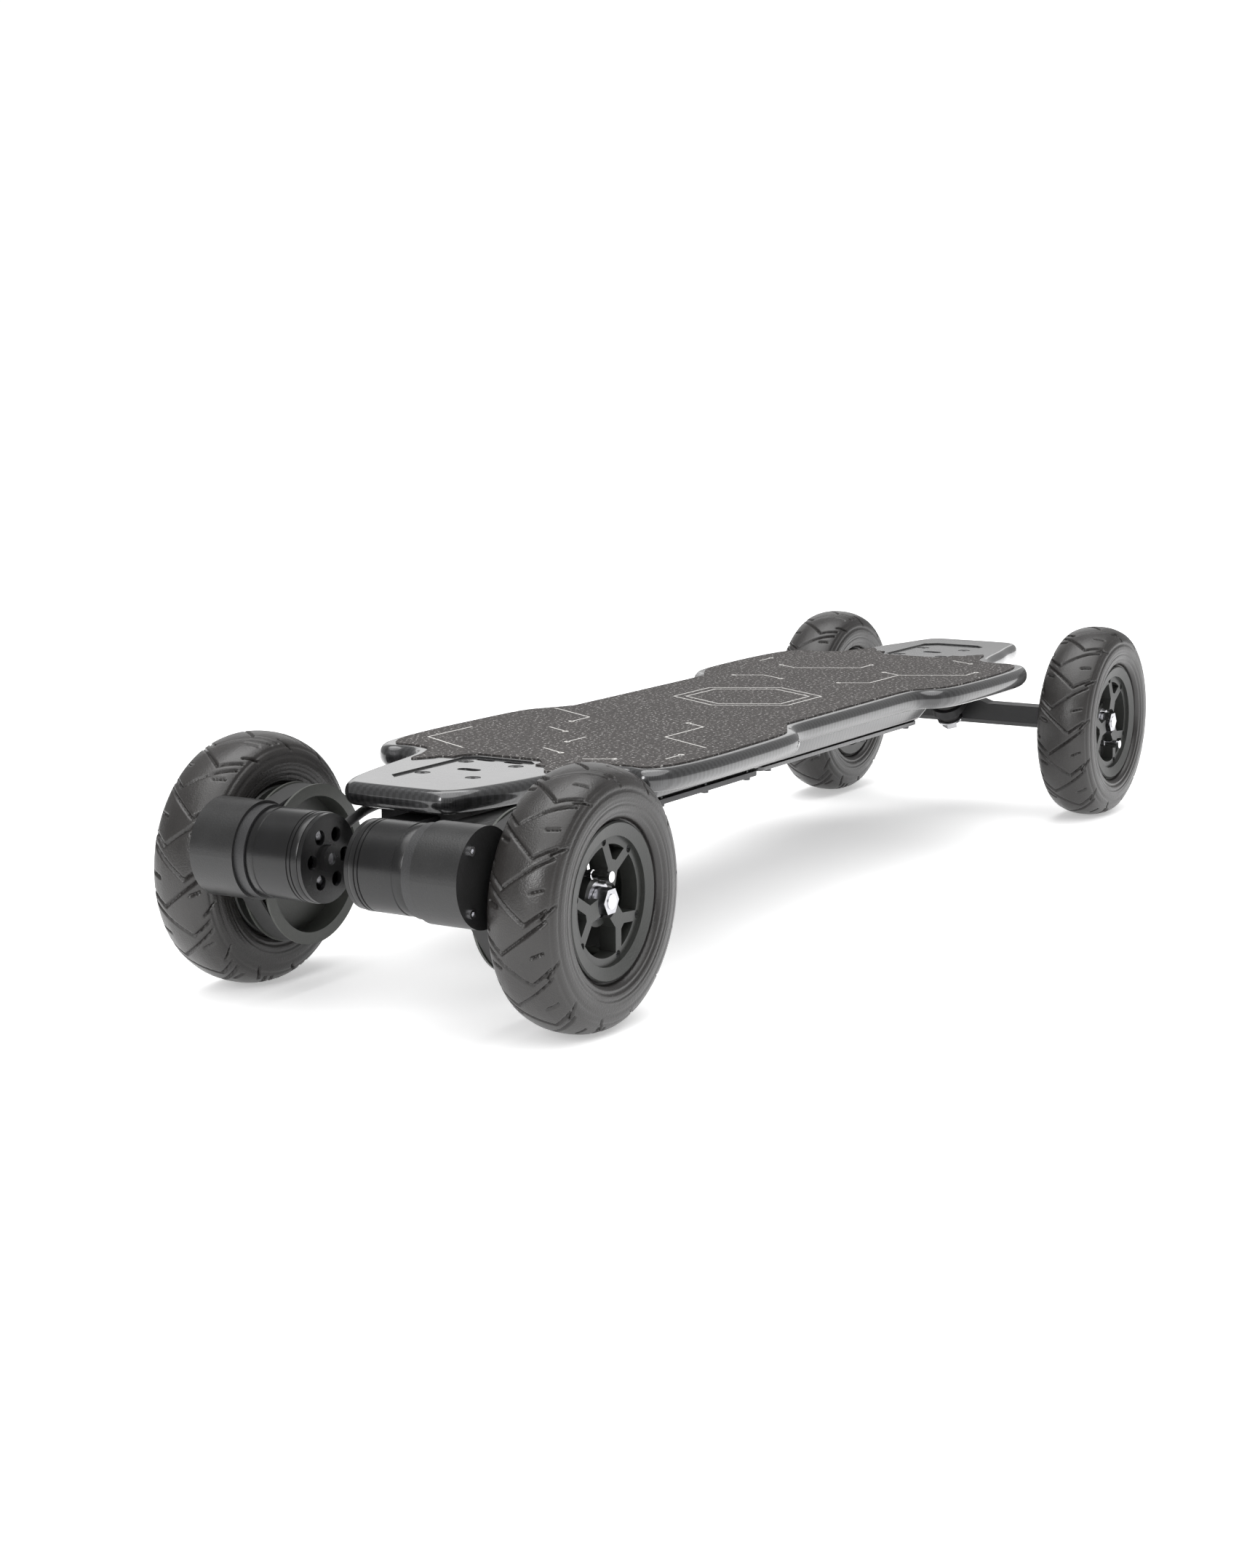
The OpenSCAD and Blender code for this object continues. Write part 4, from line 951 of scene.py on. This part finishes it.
# ---- Motors ----
# Two sealed outrunner motors in black anodised aluminium cans, bolted to plates that
# clamp the rear hanger. Turned grooves ring each can near its ends.
anodised = grained(
    "black_anodised", (0.004, 0.004, 0.0042), (0.007, 0.007, 0.0073),
    cloud_size=0.02, grain_size=0.0009, roughness=0.26, spread=0.1, height=0.00003,
)
anodised.node_tree.nodes["Principled BSDF"].inputs["Specular IOR Level"].default_value = 0.42
finish_nodes(anodised, "motor_end_bells")
finish_nodes(race_steel, "motor_shaft_left", "motor_shaft_right", "motor_pulley_left", "motor_pulley_right")
motor_axis = (-axle_x - 71.0, tyre_radius + 23.0)
can_profile = [
    (26.0, 20.0), (28.6, 20.0), (29.6, 20.4), (30.0, 21.4), (30.0, 24.4), (29.4, 24.7), (29.4, 25.5), (30.0, 25.8),
    (30.0, 27.4), (29.4, 27.7), (29.4, 28.5), (30.0, 28.8), (30.0, 53.6), (29.5, 54.0), (29.5, 55.4), (30.0, 55.8),
    (30.0, 60.8), (29.6, 61.6), (28.8, 62.0), (4.05, 62.0), (4.05, 59.0), (26.0, 59.0),
]
cans = []
for side in (1, -1):
    can_centre = Matrix.Translation(row(motor_axis[0], 0, motor_axis[1]))
    cans.append((turned_ring(can_profile, 96), can_centre @ Matrix.Rotation(math.radians(-90.0 * side), 4, "X")))
motor_cans = join_rings("motor_cans_turned", cans, anodised)
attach(motor_cans, "truck_rear")
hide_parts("motor_cans")


# ---- Belt drive ----
# A toothed rubber belt on each side runs from a steel motor pulley to a large moulded
# pulley behind the wheel. A near-black moulded guard covers each motor pulley.
guard_grey = grained(
    "guard_grey", (0.009, 0.009, 0.0092), (0.015, 0.015, 0.0152),
    cloud_size=0.02, grain_size=0.0012, roughness=0.36, spread=0.14, height=0.0001,
)
finish_nodes(guard_grey, "belt_guards")
belt_rubber = grained(
    "belt_rubber", (0.02, 0.02, 0.02), (0.03, 0.03, 0.03),
    cloud_size=0.01, grain_size=0.0008, roughness=0.66, spread=0.12, height=0.00008,
)
finish_nodes(belt_rubber, "belts")
pulley_plastic = grained(
    "pulley_plastic", (0.05, 0.053, 0.047), (0.07, 0.073, 0.067),
    cloud_size=0.02, grain_size=0.001, roughness=0.42, spread=0.12, height=0.0001,
)
finish_nodes(pulley_plastic, "drive_pulley_left", "drive_pulley_right")

tooth_ring = bpy.data.node_groups.new("pulley_teeth", "GeometryNodeTree")
for socket_name, kind in (
    ("Teeth", "NodeSocketInt"), ("Root Radius", "NodeSocketFloat"), ("Tooth Depth", "NodeSocketFloat"),
    ("Tooth Width", "NodeSocketFloat"), ("Face Width", "NodeSocketFloat"), ("Material", "NodeSocketMaterial"),
):
    tooth_ring.interface.new_socket(socket_name, in_out="INPUT", socket_type=kind)
tooth_ring.interface.new_socket("Geometry", in_out="OUTPUT", socket_type="NodeSocketGeometry")
ring_in = tooth_ring.nodes.new("NodeGroupInput")
ring_out = tooth_ring.nodes.new("NodeGroupOutput")
ring_circle = tooth_ring.nodes.new("GeometryNodeMeshCircle")
ring_tooth = tooth_ring.nodes.new("GeometryNodeMeshCube")
ring_size = tooth_ring.nodes.new("ShaderNodeCombineXYZ")
ring_place = tooth_ring.nodes.new("GeometryNodeInputPosition")
ring_align = tooth_ring.nodes.new("FunctionNodeAlignRotationToVector")
ring_align.axis = "X"
ring_scatter = tooth_ring.nodes.new("GeometryNodeInstanceOnPoints")
ring_real = tooth_ring.nodes.new("GeometryNodeRealizeInstances")
ring_material = tooth_ring.nodes.new("GeometryNodeSetMaterial")
ring = tooth_ring.links.new
ring(ring_in.outputs["Teeth"], ring_circle.inputs["Vertices"])
ring(ring_in.outputs["Root Radius"], ring_circle.inputs["Radius"])
ring(ring_in.outputs["Tooth Depth"], ring_size.inputs["X"])
ring(ring_in.outputs["Tooth Width"], ring_size.inputs["Y"])
ring(ring_in.outputs["Face Width"], ring_size.inputs["Z"])
ring(ring_size.outputs["Vector"], ring_tooth.inputs["Size"])
ring(ring_circle.outputs["Mesh"], ring_scatter.inputs["Points"])
ring(ring_tooth.outputs["Mesh"], ring_scatter.inputs["Instance"])
ring(ring_place.outputs["Position"], ring_align.inputs["Vector"])
ring(ring_align.outputs["Rotation"], ring_scatter.inputs["Rotation"])
ring(ring_scatter.outputs["Instances"], ring_real.inputs["Geometry"])
ring(ring_real.outputs["Geometry"], ring_material.inputs["Geometry"])
ring(ring_in.outputs["Material"], ring_material.inputs["Material"])
ring(ring_material.outputs["Geometry"], ring_out.inputs["Geometry"])

belt_y = wheel_y - 42.0
tooth_depth = 0.0006
pulley_face = 0.0166
for side, side_name in ((1, "left"), (-1, "right")):
    for name, body, slot_name, x, z, teeth, root, width, material in (
        ("drive_teeth_", "wheel_rear_", "drive_pulley_", -axle_x, tyre_radius, 66, 51.95, 2.4, pulley_plastic),
        ("motor_teeth_", "rotor_", "motor_pulley_", motor_axis[0], motor_axis[1], 15, 11.37, 2.2, race_steel),
    ):
        teeth_piece = bpy.data.objects.new(name + side_name, bpy.data.meshes.new(name + side_name))
        scene.collection.objects.link(teeth_piece)
        settle_nodes(teeth_piece, tooth_ring, {
            "Teeth": teeth, "Root Radius": root / 1000, "Tooth Depth": tooth_depth, "Tooth Width": width / 1000,
            "Face Width": pulley_face, "Material": material,
        })
        pulley_centre = Matrix.Translation(row(x, side * belt_y, z))
        teeth_piece.data.transform(pulley_centre @ Matrix.Rotation(math.radians(-90.0 * side), 4, "X"))
        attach(teeth_piece, body + side_name)


# ---- Motor cables ----
# One thick rubber-sheathed cable to each motor leaves the belly's rear wall, loops
# under the tail beside the truck and enters its motor through a moulded boot.
cable_sheath = grained(
    "cable_sheath", (0.016, 0.016, 0.016), (0.024, 0.024, 0.024),
    cloud_size=0.01, grain_size=0.0006, roughness=0.5, spread=0.12, height=0.00004,
)
cable_radius = 3.45
boot_swell = 0.9
cable_sides = 18
cable_route = [
    (-290.0, 9, 128.9), (-299.6, 12, 128.9), (-315.6, 30, 129.6), (-axle_x + 118, 44, 129.6),
    (-axle_x + 90, 46.5, 129.6), (-axle_x + 50, 46.5, 129.6), (-axle_x + 14, 44, 128.6),
    (-axle_x - 12, 38, 126.6), (-axle_x - 35, 33, 122.5), (-axle_x - 41.6, 32, 120.1),
]
for side, side_name in ((1, "left"), (-1, "right")):
    knots = [Vector((x, side * y, z)) for x, y, z in cable_route]
    path = []
    for i in range(len(knots) - 1):
        a, b, c, d = (knots[min(max(i + k, 0), len(knots) - 1)] for k in (-1, 0, 1, 2))
        path += [spline_point(a, b, c, d, s / 8) for s in range(8)]
    path.append(knots[-1])
    cable_points = []
    cable_faces = []
    for i, centre in enumerate(path):
        along = (path[min(i + 1, len(path) - 1)] - path[max(i - 1, 0)]).normalized()
        u = along.cross(Vector((0, 0, 1))).normalized()
        v = u.cross(along)
        thick = cable_radius + (boot_swell * max(0, 1 - i / 5)) * (1 if i % 2 else 0.5)
        for k in range(cable_sides):
            turn = 2 * math.pi * k / cable_sides
            spot = centre + thick * (math.cos(turn) * u + math.sin(turn) * v)
            cable_points.append(row(spot.x, spot.y, spot.z))
        if i:
            back = (i - 1) * cable_sides
            for k in range(cable_sides):
                a, b = back + k, back + (k + 1) % cable_sides
                cable_faces.append((a, b, b + cable_sides, a + cable_sides))
    cable_faces.append(tuple(reversed(range(cable_sides))))
    cable_faces.append(tuple(range(len(cable_points) - cable_sides, len(cable_points))))
    cable = join_rings("motor_cable_" + side_name, [((cable_points, cable_faces), Matrix.Identity(4))], cable_sheath)
    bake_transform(cable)
    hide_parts("motor_cables")
